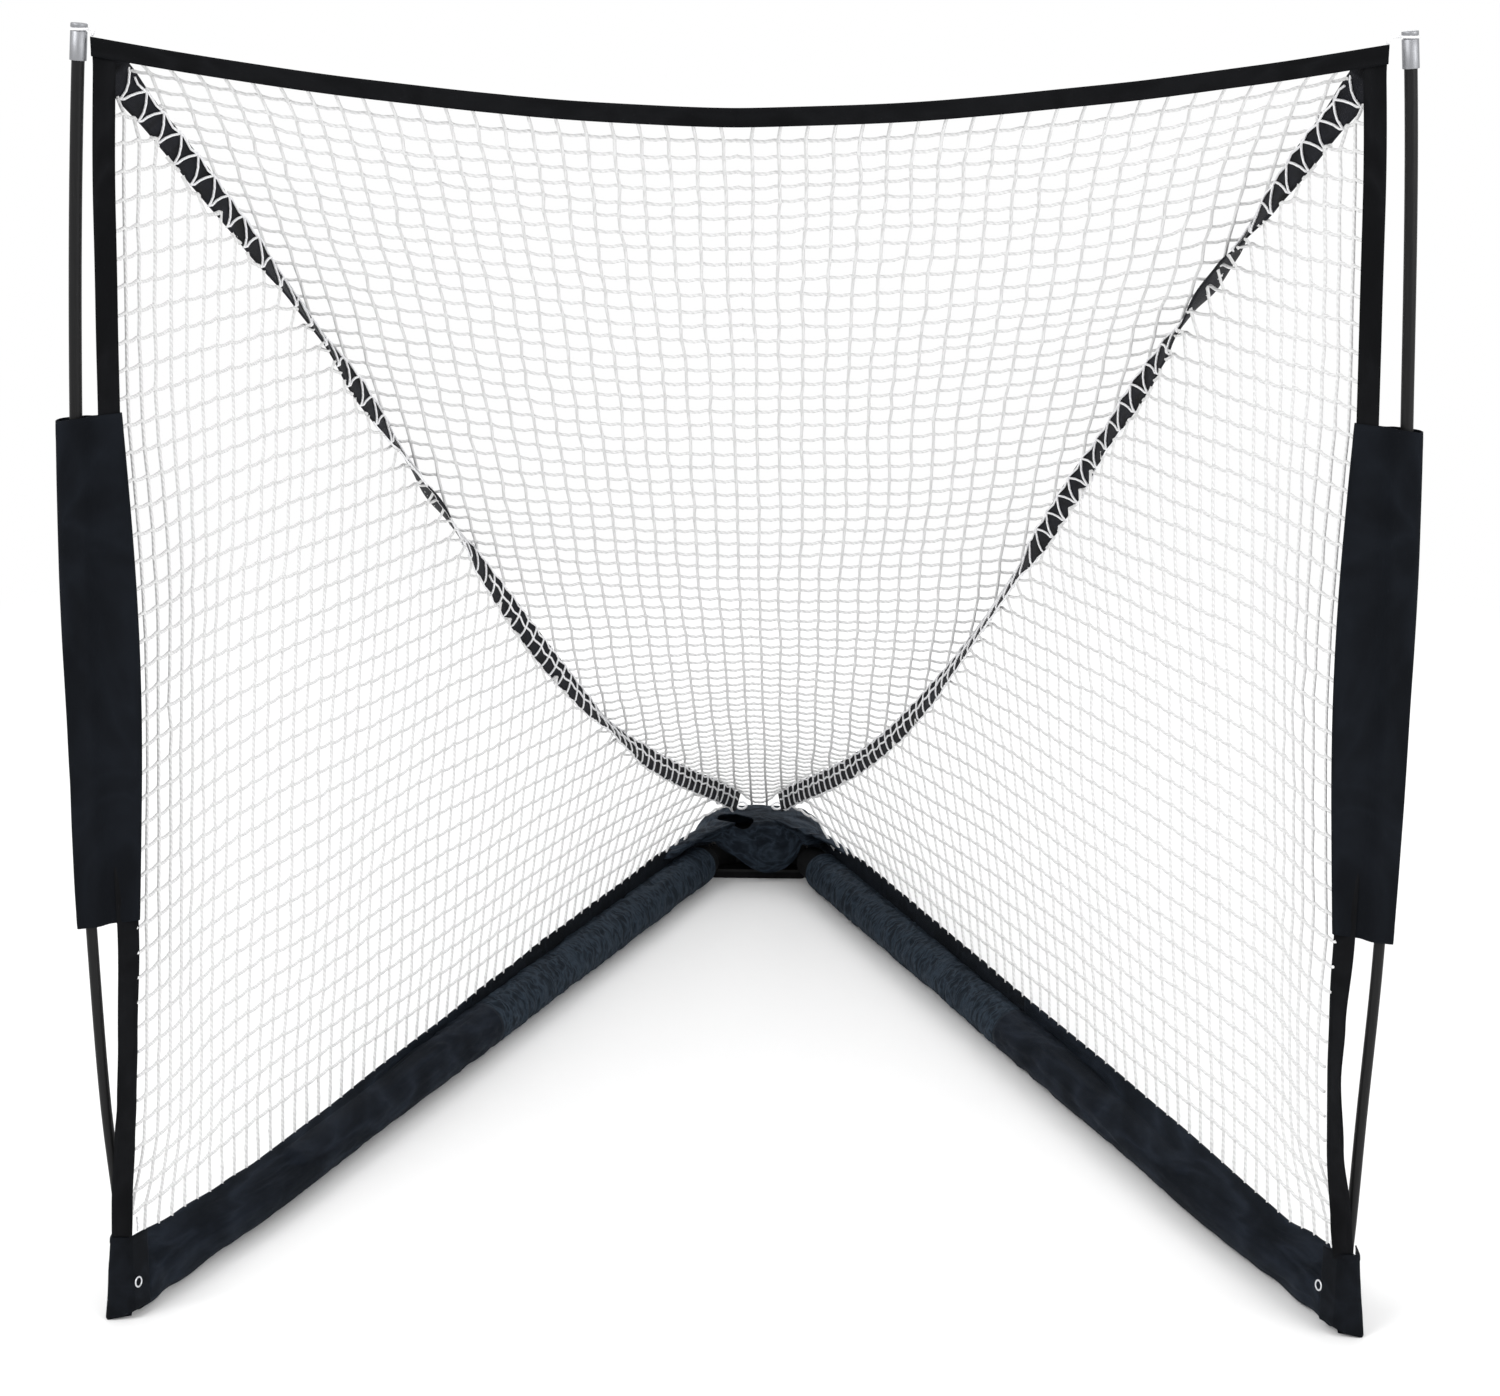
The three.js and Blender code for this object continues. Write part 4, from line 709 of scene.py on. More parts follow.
def strands(name, lines, radius, material, sides=6):
    """Cords as one mesh. A line is a list of (point, swell) where swell widens the cord."""
    curve = bpy.data.curves.new(name, "CURVE")
    curve.dimensions = "3D"
    curve.bevel_depth = radius
    curve.bevel_resolution = (sides - 4) // 2
    curve.use_fill_caps = True
    for line in lines:
        spline = curve.splines.new("POLY")
        spline.points.add(len(line) - 1)
        spline.points.foreach_set("co", [c for point, _ in line for c in (*point, 1.0)])
        spline.points.foreach_set("radius", [swell for _, swell in line])
    holder = bpy.data.objects.new(name, curve)
    mesh = bpy.data.meshes.new_from_object(holder)
    bpy.data.objects.remove(holder)
    bpy.data.curves.remove(curve)
    mesh.name = name
    mesh.materials.clear()
    return finish_object(name, mesh, material)


def angles_round(steps):
    """The angles of a full circle in equal steps, with the first one again at the end."""
    return [2 * math.pi * k / steps for k in range(steps + 1)]


def dress(piece, body, slot, *nodes):
    """Says which body a piece moves with and the frame's nodes that it shows. The slot is not used."""
    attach(piece, body)
    if nodes:
        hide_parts(*nodes)
    return piece


print("mesh helpers ready")

# %% [markdown]
# Each pole is two glass fibre rods that meet inside the pole's pocket. They could be straight
# rods bent by a modifier. Here a cylinder is cut into short lengths and each ring is pushed out
# to the pole's bow, which keeps the section round and the ends square.

# %% Poles
POLE_RINGS = 24
POLE_SIDES = 32
LOWER_ROD_RADIUS = 0.008
UPPER_ROD_RADIUS = 0.00875
pole_lean_keys = {
    # height, and how far the pole stands to the right of its plain bow there, in metres
    "left": [
        (0.13, 0.0), (0.35, -0.0042), (0.6, -0.0030), (0.945, 0.0010), (1.345, 0.0052),
        (1.868, 0.0040),
    ],
    "right": [
        (0.13, 0.0), (0.35, -0.0024), (0.6, 0.0), (0.945, 0.0010), (1.345, 0.0024), (1.868, 0.0080),
    ],
}


def leaning_x(name, z):
    return SIDES[name] * pole_x(z) + keyed(pole_lean_keys[name], z)


def pole_rod(name, low, high, radius):
    bm = bmesh.new()
    bmesh.ops.create_cone(
        bm, cap_ends=True, segments=POLE_SIDES, radius1=radius, radius2=radius, depth=high - low)
    bmesh.ops.translate(bm, vec=(0, 0, (low + high) / 2), verts=bm.verts)
    for k in range(1, POLE_RINGS):
        cut = mix(low, high, k / POLE_RINGS)
        bmesh.ops.bisect_plane(
            bm, geom=list(bm.verts) + list(bm.edges) + list(bm.faces),
            plane_co=(0, 0, cut), plane_no=(0, 0, 1))
    rims = []
    for edge in bm.edges:
        if all(min(abs(v.co.z - low), abs(v.co.z - high)) < 1e-6 for v in edge.verts):
            rims.append(edge)
    bmesh.ops.bevel(
        bm, geom=rims, offset=radius / 8, offset_type="OFFSET", affect="EDGES", segments=2,
        profile=0.5, material=-1)
    for vertex in bm.verts:
        vertex.co.x += leaning_x(name.split("_")[0], vertex.co.z)
        vertex.co.y += MOUTH
    return finish_bmesh(name, bm, pole_fibre)


for name in SIDES:
    for half, radius in (("lower", LOWER_ROD_RADIUS), ("upper", UPPER_ROD_RADIUS)):
        node = f"{name}_pole_{half}"
        low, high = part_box(node)
        rod = pole_rod(f"{name}_rod_{half}", low.z, high.z, radius)
        dress(rod, f"{name}_pole", "pole", node)
        print(rod.name, "from", round(low.z, 3), "to", round(high.z, 3))

# %% [markdown]
# The caps are turned from aluminium bar: a rounded head, a groove for the net's loop, a straight
# body and a broken edge at the foot. A profile spun round the pole's axis gives all of it, with
# the small radii as extra points on the profile.

# %% Caps
CAP_RADIUS = 0.0113
CAP_HEIGHT = 0.0485
GROOVE_TOP = 0.006
GROOVE_HEIGHT = 0.0044
GROOVE_DEPTH = 0.0022
CAP_EDGE = 0.0016
CAP_SEAT = 0.0006
GROOVE_EDGE = 0.0004


def rounded(height, radius, size, turn):
    """A quarter round corner of a profile, from the direction turn onwards."""
    points = []
    for k in range(5):
        angle = turn + math.pi / 2 * k / 4
        points.append((height + size * math.sin(angle), radius + size * math.cos(angle)))
    return points


def pole_direction(z):
    step = 0.01
    return (pole_x(z + step) - pole_x(z - step)) / (2 * step)


cap_profile = [(-CAP_HEIGHT, 0.0)]
cap_profile += rounded(-CAP_HEIGHT + CAP_EDGE / 2, CAP_RADIUS - CAP_EDGE / 2, CAP_EDGE / 2, -math.pi / 2)
cap_profile += [
    (-GROOVE_TOP - GROOVE_HEIGHT - GROOVE_EDGE, CAP_RADIUS),
    (-GROOVE_TOP - GROOVE_HEIGHT, CAP_RADIUS - GROOVE_EDGE),
    (-GROOVE_TOP - GROOVE_HEIGHT, CAP_RADIUS - GROOVE_DEPTH),
    (-GROOVE_TOP, CAP_RADIUS - GROOVE_DEPTH),
    (-GROOVE_TOP, CAP_RADIUS - GROOVE_EDGE),
    (-GROOVE_TOP + GROOVE_EDGE, CAP_RADIUS),
]
cap_profile += rounded(-CAP_EDGE, CAP_RADIUS - CAP_EDGE, CAP_EDGE, 0.0)
cap_profile += [(0.0, 0.0)]
for name, side in SIDES.items():
    lean = Vector((side * pole_direction(POLE_TOP), 0, 1)).normalized()
    top = Vector((leaning_x(name, POLE_TOP), MOUTH, POLE_TOP - CAP_SEAT))
    cap = turned(f"{name}_cap", cap_profile, top, lean, cap_metal)
    sharp = cap.modifiers.new("edges", "EDGE_SPLIT")
    sharp.split_angle = math.radians(50)
    dress(cap, f"{name}_pole", "cap", f"{name}_pole_cap")
    print(cap.name, "at", tuple(round(c, 3) for c in top))

# %% [markdown]
# The side bands are strips of folded cloth, thirty millimetres wide, sewn along both edges. They
# leave the top corner, bow with the pole and pass in front of it at the foot. A hem shows as a
# faint raised edge, so the strip is a little thicker near its edges.

# %% Side bands
BAND_ROWS = 150
BAND_COLUMNS = 10
HEM_LIFT = 0.0006
BAND_WAVE = 0.0012
CORNER_TUCK = 0.0012


def hem_lift(u):
    """How far a band's face stands out, which is a little more along its two sewn edges."""
    return HEM_LIFT * between(abs(2 * u - 1), 0.6, 0.75, 0.9, 1.0)


def side_band_place(side, bottom, top):
    def place(u, v):
        z = mix(bottom, top, v)
        wave = BAND_WAVE * noise.noise(Vector((side * 3, 0, z * 5)))
        turn = band_turn(side, z)
        x = band_x(z) + band_lean(side, z) + wave + BAND_WIDTH * (0.5 - u) * math.cos(turn)
        at_corner = smooth(z, TOP_BAND_END - 2 * BAND_WIDTH, TOP_BAND_END)
        x = mix(x, TOP_BAND_HALF - 0.0008 - BAND_WIDTH * u, at_corner)
        y = MOUTH - band_forward(z) - hem_lift(u) + CORNER_TUCK * at_corner
        y += BAND_WIDTH * (u - 0.5) * math.sin(turn)
        return Vector((side * x, y, min(z, top_band_edge(x) - CORNER_TUCK)))
    return place


for name, side in SIDES.items():
    top = TOP_BAND_END - CORNER_TUCK
    place = side_band_place(side, CORNER_HEIGHT - 0.006, top)
    length = top - CORNER_HEIGHT
    band = cloth(
        f"{name}_band", BAND_COLUMNS, BAND_ROWS, place, (BAND_WIDTH, length), band_cloth,
        wall=BAND_THICKNESS)
    dress(band, f"{name}_arm", "fabric", f"{name}_side_band")
    print(band.name, round(length, 3), "m long")

# %% Where pieces go when an arm folds
FOLD_LIMIT = math.radians(20)
LEAST_KEPT = 0.04


def folded_place(side, point):
    """Where a point on an arm is once the arm has folded in."""
    pivot = Vector((side * PIVOT_X, 0, 0))
    turn = Matrix.Rotation(-side * FOLD_LIMIT, 3, "Z")
    return pivot + turn @ (point - pivot)


def gathers(piece, side, edge):
    """Puts a piece with the hub and gives the share of its length that it keeps as its arm folds: edge is
    the point of it that the arm carries.
    """
    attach(piece, "hub")
    travel = folded_place(side, edge) - edge
    travel.z = 0
    axis = travel.normalized()
    anchor = Vector((0, edge.y, 0))
    reach = (edge - anchor).dot(axis)
    keep = clamp(1 - travel.length / abs(reach), LEAST_KEPT)
    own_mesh(piece)
    return keep


print("fold limit:", round(math.degrees(FOLD_LIMIT)), "degrees")

# %% [markdown]
# The top band is a narrow strip of the same cloth as the side bands, hung between their top
# corners. It sags with the net's weight, so its upper edge is a shallow bow.

# %% Top band
TOP_COLUMNS = 8
TOP_ROWS = 140
TOP_BAND_FORWARD = 0.0026


def top_band_place(side):
    def place(u, v):
        x = TOP_BAND_HALF * v
        wave = BAND_WAVE * noise.noise(Vector((side * x * 6, 1, 0)))
        z = top_band_edge(x) - TOP_BAND_HEIGHT * u + wave
        return Vector((side * x, MOUTH - TOP_BAND_FORWARD - hem_lift(u), z))
    return place


for name, side in SIDES.items():
    top = cloth(
        f"{name}_top_band", TOP_COLUMNS, TOP_ROWS, top_band_place(side),
        (TOP_BAND_HEIGHT, TOP_BAND_HALF), band_cloth, wall=BAND_THICKNESS)
    corner = Vector((side * TOP_BAND_HALF, MOUTH, TOP_BAND_END))
    keep = gathers(top, side, corner)
    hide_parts("top_band")
    print(top.name, "keeps", round(keep, 3), "of its length when folded")

# %% [markdown]
# Each pole pocket is a flat sheath drawn round the pole: a loose fold outside, two layers that
# run to a sewn edge inside, and a hem at the top and the bottom. Its section is an outline with
# a round middle and two flat ends, and the outline bulges most halfway up.

# %% Pole pockets
POCKET_RADIUS = 0.0142
POCKET_SEAM = 0.0033
POCKET_OUTSIDE = 0.0190
POCKET_EDGE = 0.003
POCKET_BULGE = 0.018
POCKET_CLOTH = 0.0016
POCKET_SLANT = 0.011
POCKET_ROWS = 110
POCKET_COLUMNS = 72
POCKET_FLAT_WIDTH = 0.168
POCKET_TOP_ROOM = 0.0034
POCKET_CREASE = 0.0016
POCKET_HEM = 0.0007


def pocket_inner(z):
    share = clamp((z - POCKET_BOTTOM) / (POCKET_TOP - POCKET_BOTTOM))
    return band_x(z) - BAND_WIDTH / 2 - POCKET_EDGE - POCKET_BULGE * math.sin(math.pi * share)


def pocket_outer(z):
    """Room outside the pole. There is more at the top, where the pole leans out as it slides."""
    return POCKET_OUTSIDE + POCKET_TOP_ROOM * smooth(z, 0.9, 1.15)


def pocket_half_depth(reach, inside, outside):
    """Half the sheath's thickness at a distance inward of the pole (negative is outward)."""
    long = inside if reach > 0 else outside
    flat = mix(POCKET_RADIUS, POCKET_SEAM, smooth(abs(reach), POCKET_RADIUS * 0.9, POCKET_RADIUS * 2.2))
    near_edge = 1 - smooth(abs(reach), long - 0.7 * POCKET_SEAM, long)
    return flat * max(near_edge, 0.0) ** 0.5


def pocket_place(name, side):
    def place(u, v):
        z = mix(POCKET_BOTTOM, POCKET_TOP, v)
        beside = side * max(side * leaning_x(name, z) - pole_x(z), 0)
        outside = pocket_outer(z)
        inside = pole_x(z) - pocket_inner(z)
        around = 2 * math.pi * u
        reach = mix(-outside, inside, (1 + math.cos(around)) / 2)
        depth = pocket_half_depth(reach, inside, outside)
        front = -1 if math.sin(around) > 0 else 1
        crease = noise.noise(Vector((reach * 22, side * 2 + front, z * 6)))
        crease += 0.5 * noise.noise(Vector((reach * 60, side * 5 + front, z * 14)))
        hem = between(abs(2 * v - 1), 0.93, 0.945, 0.995, 1.0)
        depth += POCKET_CREASE * crease * smooth(depth, 0, POCKET_SEAM) + POCKET_HEM * hem
        slant = POCKET_SLANT * (reach + outside) / (inside + outside)
        x = side * (pole_x(z) - reach) + beside * (1 - smooth(reach, 0.25 * inside, inside))
        return Vector((x, MOUTH + front * depth, z + slant - POCKET_SLANT / 2))
    return place


for name, side in SIDES.items():
    flat = (POCKET_FLAT_WIDTH, POCKET_TOP - POCKET_BOTTOM)
    pocket = cloth(
        f"{name}_pocket", POCKET_COLUMNS, POCKET_ROWS, pocket_place(name, side), flat, pocket_cloth,
        closed=True, wall=POCKET_CLOTH, offset=-1.0)
    dress(pocket, f"{name}_arm", "fabric", f"{name}_pole_pocket")
    print(pocket.name, "bare cloth,", round(flat[1], 3), "m long")

# %% [markdown]
# A round padded sleeve covers the rear half of each arm. Its cloth is a little longer than the
# arm, so it bunches into fine folds that run round it. The folds are made by moving the points
# of the tube along its own radius, with noise stretched round the tube. The real cloth could be
# draped by a simulation, but noise gives the same folds on every run.

# %% Sleeves
SLEEVE_RADIUS = 0.042
SLEEVE_START = {LEFT: 0.124, RIGHT: 0.162}
PAD_START = 0.0886
SECTION_JOINT = 1.130
SLEEVE_AROUND = 64
SLEEVE_STEP = 0.0055
FOLD_DEPTH = 0.0050
FOLD_MIDDLE = 0.0022
SLEEVE_HEM = 0.0012
HEM_WIDTH = 0.012
LOOSE_FROM = 0.03
FLAP_OUT = 0.022
SLEEVE_WALL = 0.0012
FLOOR_GAP = 0.0008


def fold_height(side, along, turn):
    """Height of the sleeve's folds, -1 to 1: crests that run round the tube and break up."""
    wander = 1.6 * noise.noise(Vector((along * 6, turn * 1.1, side * 4)))
    crest = 1 - 2 * abs(noise.noise(Vector((along * 24 + wander, turn * 0.9, side * 7))))
    cross = 1 - 2 * abs(noise.noise(Vector((along * 34 - 3 * turn, turn * 2.2 + along * 9, side * 17))))
    fine = noise.noise(Vector((along * 75 + 2 * wander, turn * 3.0, side * 11)))
    broad = noise.noise(Vector((along * 9, turn * 1.7, side * 13)))
    return 0.5 * (crest - 0.5) + 0.35 * (cross - 0.5) + 0.22 * fine + 0.5 * broad


def sleeve_place(side, start, end):
    def place(u, v):
        along = mix(start, end, v)
        angle = 2 * math.pi * u
        turn = 1.0 + math.cos(angle)
        loose = between(along, start, start + LOOSE_FROM, end - 0.02, end)
        radius = SLEEVE_RADIUS - FOLD_MIDDLE + FOLD_DEPTH * fold_height(side, along, 2 * turn) * loose
        radius += SLEEVE_HEM * (1 - smooth(along, start + HEM_WIDTH, start + 0.016))
        z = max(TUBE_HEIGHT + radius * math.sin(angle), FLOOR_GAP)
        return on_arm(side, along, ARM_OFFSET + radius * math.cos(angle), z)
    return place


for name, side in SIDES.items():
    length = SECTION_JOINT - SLEEVE_START[side]
    flat = (2 * math.pi * SLEEVE_RADIUS, length * 1.03)
    sleeve = cloth(
        f"{name}_sleeve", SLEEVE_AROUND, round(length / SLEEVE_STEP),
        sleeve_place(side, SLEEVE_START[side], SECTION_JOINT), flat, sleeve_cloth, closed=True,
        wall=SLEEVE_WALL, offset=-1.0)
    dress(sleeve, f"{name}_arm", "fabric", f"{name}_rear_sleeve")
    print(sleeve.name, len(sleeve.data.vertices), "points")

# %% [markdown]
# The skirt is the front half of the same cover. Near the joint it is a round sleeve with a
# standing flap. Towards the corner the two become one: the cloth runs straight from the flap's
# top edge down to the floor and narrows until it meets the corner. Both shapes are written as
# outlines with the same number of points, and the skirt fades from one to the other.

# %% Skirts
SKIRT_SPREAD = 0.42
SKIRT_HALF = 0.01935
SKIRT_STEP = 0.009
SKIRT_AROUND = 96
CREASE_REACH = 0.30
CREASE_DEPTH = 0.0028
CREASE_RAYS = 11
SKIRT_SET_IN = 0.0016
FOAM_ROOM = 0.002
FOAM_RADIUS = 0.0345
FOAM_END = 1.80
SKIRT_FLAT_WIDTH = 0.33
FLAP_HALF_WALL = 0.0016
flap_share = 0.14
straight_share = 0.30
drawn_rise_share = 0.22
drawn_half_share = 0.98
skirt_top_keys = {
    # distance along the arm, height of the cloth's top edge
    LEFT: [
        (0.10, 0.088), (0.30, 0.114), (0.45, 0.110), (0.79, 0.108), (1.06, 0.101), (1.28, 0.094),
        (1.44, 0.092), (1.68, 0.085), (1.88, 0.083), (1.98, 0.090), (2.12, 0.102), (2.25, 0.116),
    ],
    RIGHT: [
        (0.10, 0.088), (0.34, 0.118), (0.85, 0.112), (1.09, 0.108), (1.41, 0.108), (1.69, 0.104),
        (1.96, 0.098), (2.08, 0.099), (2.18, 0.114), (2.25, 0.122),
    ],
}


def skirt_top(side, along):
    return keyed(skirt_top_keys[side], along)


def skirt_at(side, along):
    ease = smooth(along, skirt_end - SKIRT_SPREAD, skirt_end)
    half = mix(SLEEVE_RADIUS, SKIRT_HALF, ease)
    return half, skirt_top(side, along), math.tan(arm_angle) * ease


def round_outline(u, half, top):
    """Sleeve with a standing flap, from the flap's top outside, under the tube, to its top inside."""
    out = FLAP_OUT * half / SLEEVE_RADIUS
    foot = math.acos(out / half)
    flap_foot = TUBE_HEIGHT + SLEEVE_RADIUS * math.sin(foot)
    if u < flap_share:
        return out + FLAP_HALF_WALL, mix(top, flap_foot, u / flap_share)
    if u > 1 - flap_share:
        rise = (u - 1 + flap_share) / flap_share
        return out - FLAP_HALF_WALL, mix(flap_foot, top, rise)
    angle = foot - 2 * math.pi * (u - flap_share) / (1 - 2 * flap_share)
    return half * math.cos(angle), TUBE_HEIGHT + SLEEVE_RADIUS * math.sin(angle)


def drawn_outline(u, half, top):
    """The same run of cloth drawn tight from the flap's top to the tube."""
    out = FLAP_OUT * half / SLEEVE_RADIUS
    low = TUBE_HEIGHT + SLEEVE_RADIUS * drawn_rise_share
    if u < straight_share:
        share = u / straight_share
        return mix(out, half * drawn_half_share, share ** 0.9), mix(top, low, share)
    if u > 1 - straight_share:
        share = (1 - u) / straight_share
        return mix(out, -half * drawn_half_share, share ** 0.85), mix(top, low, share)
    first = math.asin(drawn_rise_share)
    angle = first - (math.pi + 2 * first) * (u - straight_share) / (1 - 2 * straight_share)
    return half * math.cos(angle), TUBE_HEIGHT + SLEEVE_RADIUS * math.sin(angle)


def skirt_place(side, start, end):
    seam_top = Vector((side * (band_x(0.13) - 0.02), MOUTH + 0.03, 0.13))

    def place(u, v):
        along = mix(start, end, v)
        half, top, slant = skirt_at(side, along)
        drawn = smooth(along, start + 0.15, end - 0.35)
        first = round_outline(u, half, top)
        second = drawn_outline(u, half, top)
        out = mix(first[0], second[0], drawn)
        z = mix(first[1], second[1], drawn)
        on_flap = smooth(z, top - 0.012, top)
        loose = between(along, start, start + LOOSE_FROM, end - LOOSE_FROM, end)
        folds = fold_height(side, along * (0.8 - 0.35 * drawn), 4 * math.cos(2 * math.pi * u))
        push = FOLD_DEPTH * mix(1.0, 0.5, drawn) * folds * loose * (1 - on_flap) - SKIRT_SET_IN
        point = on_arm(side, along + slant * out, ARM_OFFSET + out, z)
        away = point - seam_top
        ray = math.atan2(away.z, math.hypot(away.x, away.y))
        crease = math.sin(CREASE_RAYS * ray + side) * math.exp(-away.length / CREASE_REACH)
        push += CREASE_DEPTH * crease * loose * (1 - on_flap)
        push += SLEEVE_HEM * (1 - smooth(along, start + HEM_WIDTH, start + 0.015)) * (1 - on_flap)
        middle = on_arm(side, along + slant * out, ARM_OFFSET, TUBE_HEIGHT)
        direction = (point - middle).normalized()
        point += direction * push
        past_foam = smooth(along, FOAM_END + 0.008, FOAM_END + 0.05)
        padded = mix(FOAM_RADIUS + FOAM_ROOM, 0.0, past_foam)
        if (point - middle).length < padded:
            point = middle + (point - middle).normalized() * padded
        point.z = max(point.z, FLOOR_GAP)
        return point
    return place


for name, side in SIDES.items():
    length = skirt_end - SECTION_JOINT
    flat = (SKIRT_FLAT_WIDTH, length)
    skirt = cloth(
        f"{name}_cover_front", SKIRT_AROUND, round(length / SKIRT_STEP),
        skirt_place(side, SECTION_JOINT - 0.006, skirt_end), flat, skirt_cloth, closed=True,
        wall=SLEEVE_WALL, offset=-1.0)
    dress(skirt, f"{name}_arm", "fabric", f"{name}_skirt")
    print(skirt.name, len(skirt.data.vertices), "points")

# %% [markdown]
# A flat flap stands along the outer side of each rear sleeve, and the side net is laced to its
# upper edge. It is one strip whose top follows the skirt's own top line. The lacing pulls it up
# between its knots, so the edge is a row of small scallops.

# %% Flaps
FLAP_START = 0.10
FLAP_ROWS = 120
FLAP_COLUMNS = 8
FLAP_WALL = 0.0030
FLAP_HEIGHT = 0.044
SCALLOP_DEPTH = 0.0018
SCALLOP_PITCH = 0.055


def flap_place(side):
    foot = TUBE_HEIGHT + SLEEVE_RADIUS * math.sin(math.acos(FLAP_OUT / SLEEVE_RADIUS)) - 0.006

    def place(u, v):
        along = mix(FLAP_START, SECTION_JOINT, v)
        scallop = SCALLOP_DEPTH * abs(math.sin(math.pi * along / SCALLOP_PITCH))
        top = skirt_top(side, along) - scallop * smooth(along, FLAP_START, 0.3)
        wave = 0.0022 * noise.noise(Vector((along * 9, u * 2, side * 3)))
        return on_arm(side, along, ARM_OFFSET + FLAP_OUT + wave * u, mix(foot, top, u))
    return place


for name, side in SIDES.items():
    flat = (FLAP_HEIGHT, SECTION_JOINT - FLAP_START)
    flap = cloth(
        f"{name}_flap", FLAP_COLUMNS, FLAP_ROWS, flap_place(side), flat, corner_cloth, wall=FLAP_WALL)
    dress(flap, f"{name}_arm", "fabric")
    print(flap.name, round(flat[1], 3), "m long")

# %% [markdown]
# The padding inside is closed-cell foam tube. It shows only where a sleeve ends, so it is a
# plain ring with softened corners, spun round the arm's line.

# %% Foam
FOAM_BORE = 0.0165
FOAM_EDGE = 0.004
foam_ends = {"rear": (PAD_START, 1.086), "front": (SECTION_JOINT + 0.0026, FOAM_END)}
for name, side in SIDES.items():
    for part, (start, end) in foam_ends.items():
        direction = (on_arm(side, 1, 0, 0) - on_arm(side, 0, 0, 0)).normalized()
        length = end - start
        profile = [
            (0, FOAM_BORE), (0, FOAM_RADIUS - FOAM_EDGE), (FOAM_EDGE, FOAM_RADIUS),
            (length - FOAM_EDGE, FOAM_RADIUS), (length, FOAM_RADIUS - FOAM_EDGE),
            (length, FOAM_BORE), (0, FOAM_BORE),
        ]
        centre = on_arm(side, start, ARM_OFFSET, TUBE_HEIGHT)
        pad = turned(f"{name}_foam_{part}", profile, centre, direction, foam)
        dress(pad, f"{name}_arm", "foam", f"{name}_{part}_pad")
        print(pad.name, round(length, 3), "m long")

# %% [markdown]
# A short steel cup holds the pole's foot inside each corner. It doesn't show from outside, so it
# is a plain turned cup that leans with the pole.

# %% Sockets
SOCKET_OUTER = 0.0118
SOCKET_INNER = 0.0092
SOCKET_FLOOR = 0.014
SOCKET_TOP = 0.126
CUP_FLOOR = SOCKET_FLOOR + 0.005
cup_profile = [
    (SOCKET_FLOOR, 0.0), (SOCKET_FLOOR, 0.008), (SOCKET_FLOOR + 0.004, SOCKET_OUTER),
    (SOCKET_TOP - 0.001, SOCKET_OUTER), (SOCKET_TOP, SOCKET_OUTER - 0.0006),
    (SOCKET_TOP, SOCKET_INNER), (CUP_FLOOR, SOCKET_INNER), (CUP_FLOOR, 0.0),
]
for name, side in SIDES.items():
    lean = Vector((side * pole_direction(SOCKET_TOP / 2), 0, 1)).normalized()
    foot = Vector((side * pole_x(0.0), MOUTH, 0))
    cup = turned(f"{name}_foot_cup", cup_profile, foot, lean, painted_steel)
    dress(cup, f"{name}_arm", "steel", f"{name}_socket")
    print(cup.name, "leans", round(math.degrees(math.atan2(abs(lean.x), lean.z)), 1), "degrees")

# %% [markdown]
# The corner is a cloth cup round the pole's foot. Its front faces the camera and ends in a
# pointed tip on the floor, and its inner side runs on into the skirt without a step. The plan
# outline narrows towards the top. The bottom edge rises away from the tip, and the lowest rows
# are tucked in to make the floor of the cup.

# %% Corner pockets
CORNER_FRONT = 0.0155
CORNER_FOOT_OUTER = 0.9245
CORNER_TOP_OUTER = 0.9108
CORNER_TURN = 0.8835
CORNER_CLOTH = 0.0024
CORNER_ROUND = 0.005
CORNER_FLOOR_SHARE = 0.12
CORNER_SEAM = 0.0007
CORNER_HEM = 0.0008
CORNER_CREASE = 0.0016
CORNER_WRINKLE = 0.0005
CORNER_CLEAR = 0.0006
CORNER_TUCK_IN = 0.97
SEAM_WIDTH = 0.0022
CORNER_COLUMNS = 72
CORNER_ROWS = 60
CORNER_FLAT_WIDTH = 0.112
corner_lift_keys = [(0.0, 0.0), (0.018, 0.0040), (0.036, 0.0120), (0.050, 0.0150), (0.070, 0.0120)]
skirt_inner = pole_x(TUBE_HEIGHT) - CORNER_BACK * math.tan(arm_angle) - SKIRT_HALF / math.cos(arm_angle)


def corner_spot(z, share):
    """A plan point of the cup's wall, from its outer back edge round the front to the skirt."""
    front, back = MOUTH - CORNER_FRONT, MOUTH + CORNER_BACK
    outer = mix(CORNER_FOOT_OUTER, CORNER_TOP_OUTER, z / CORNER_HEIGHT)
    path = [
        Vector((outer, back)), Vector((outer, front)), Vector((CORNER_TURN, front)),
        Vector((skirt_inner, back)),
    ]
    runs = [(b - a).length for a, b in zip(path, path[1:])]
    spots = []
    for shift in (-CORNER_ROUND, 0, CORNER_ROUND):
        reach = clamp(share * sum(runs) + shift, 0, sum(runs))
        k = 0
        while k < len(runs) - 1 and reach > runs[k]:
            reach -= runs[k]
            k += 1
        spots.append(path[k].lerp(path[k + 1], min(reach / runs[k], 1.0)))
    return (spots[0] + 2 * spots[1] + spots[2]) / 4, outer


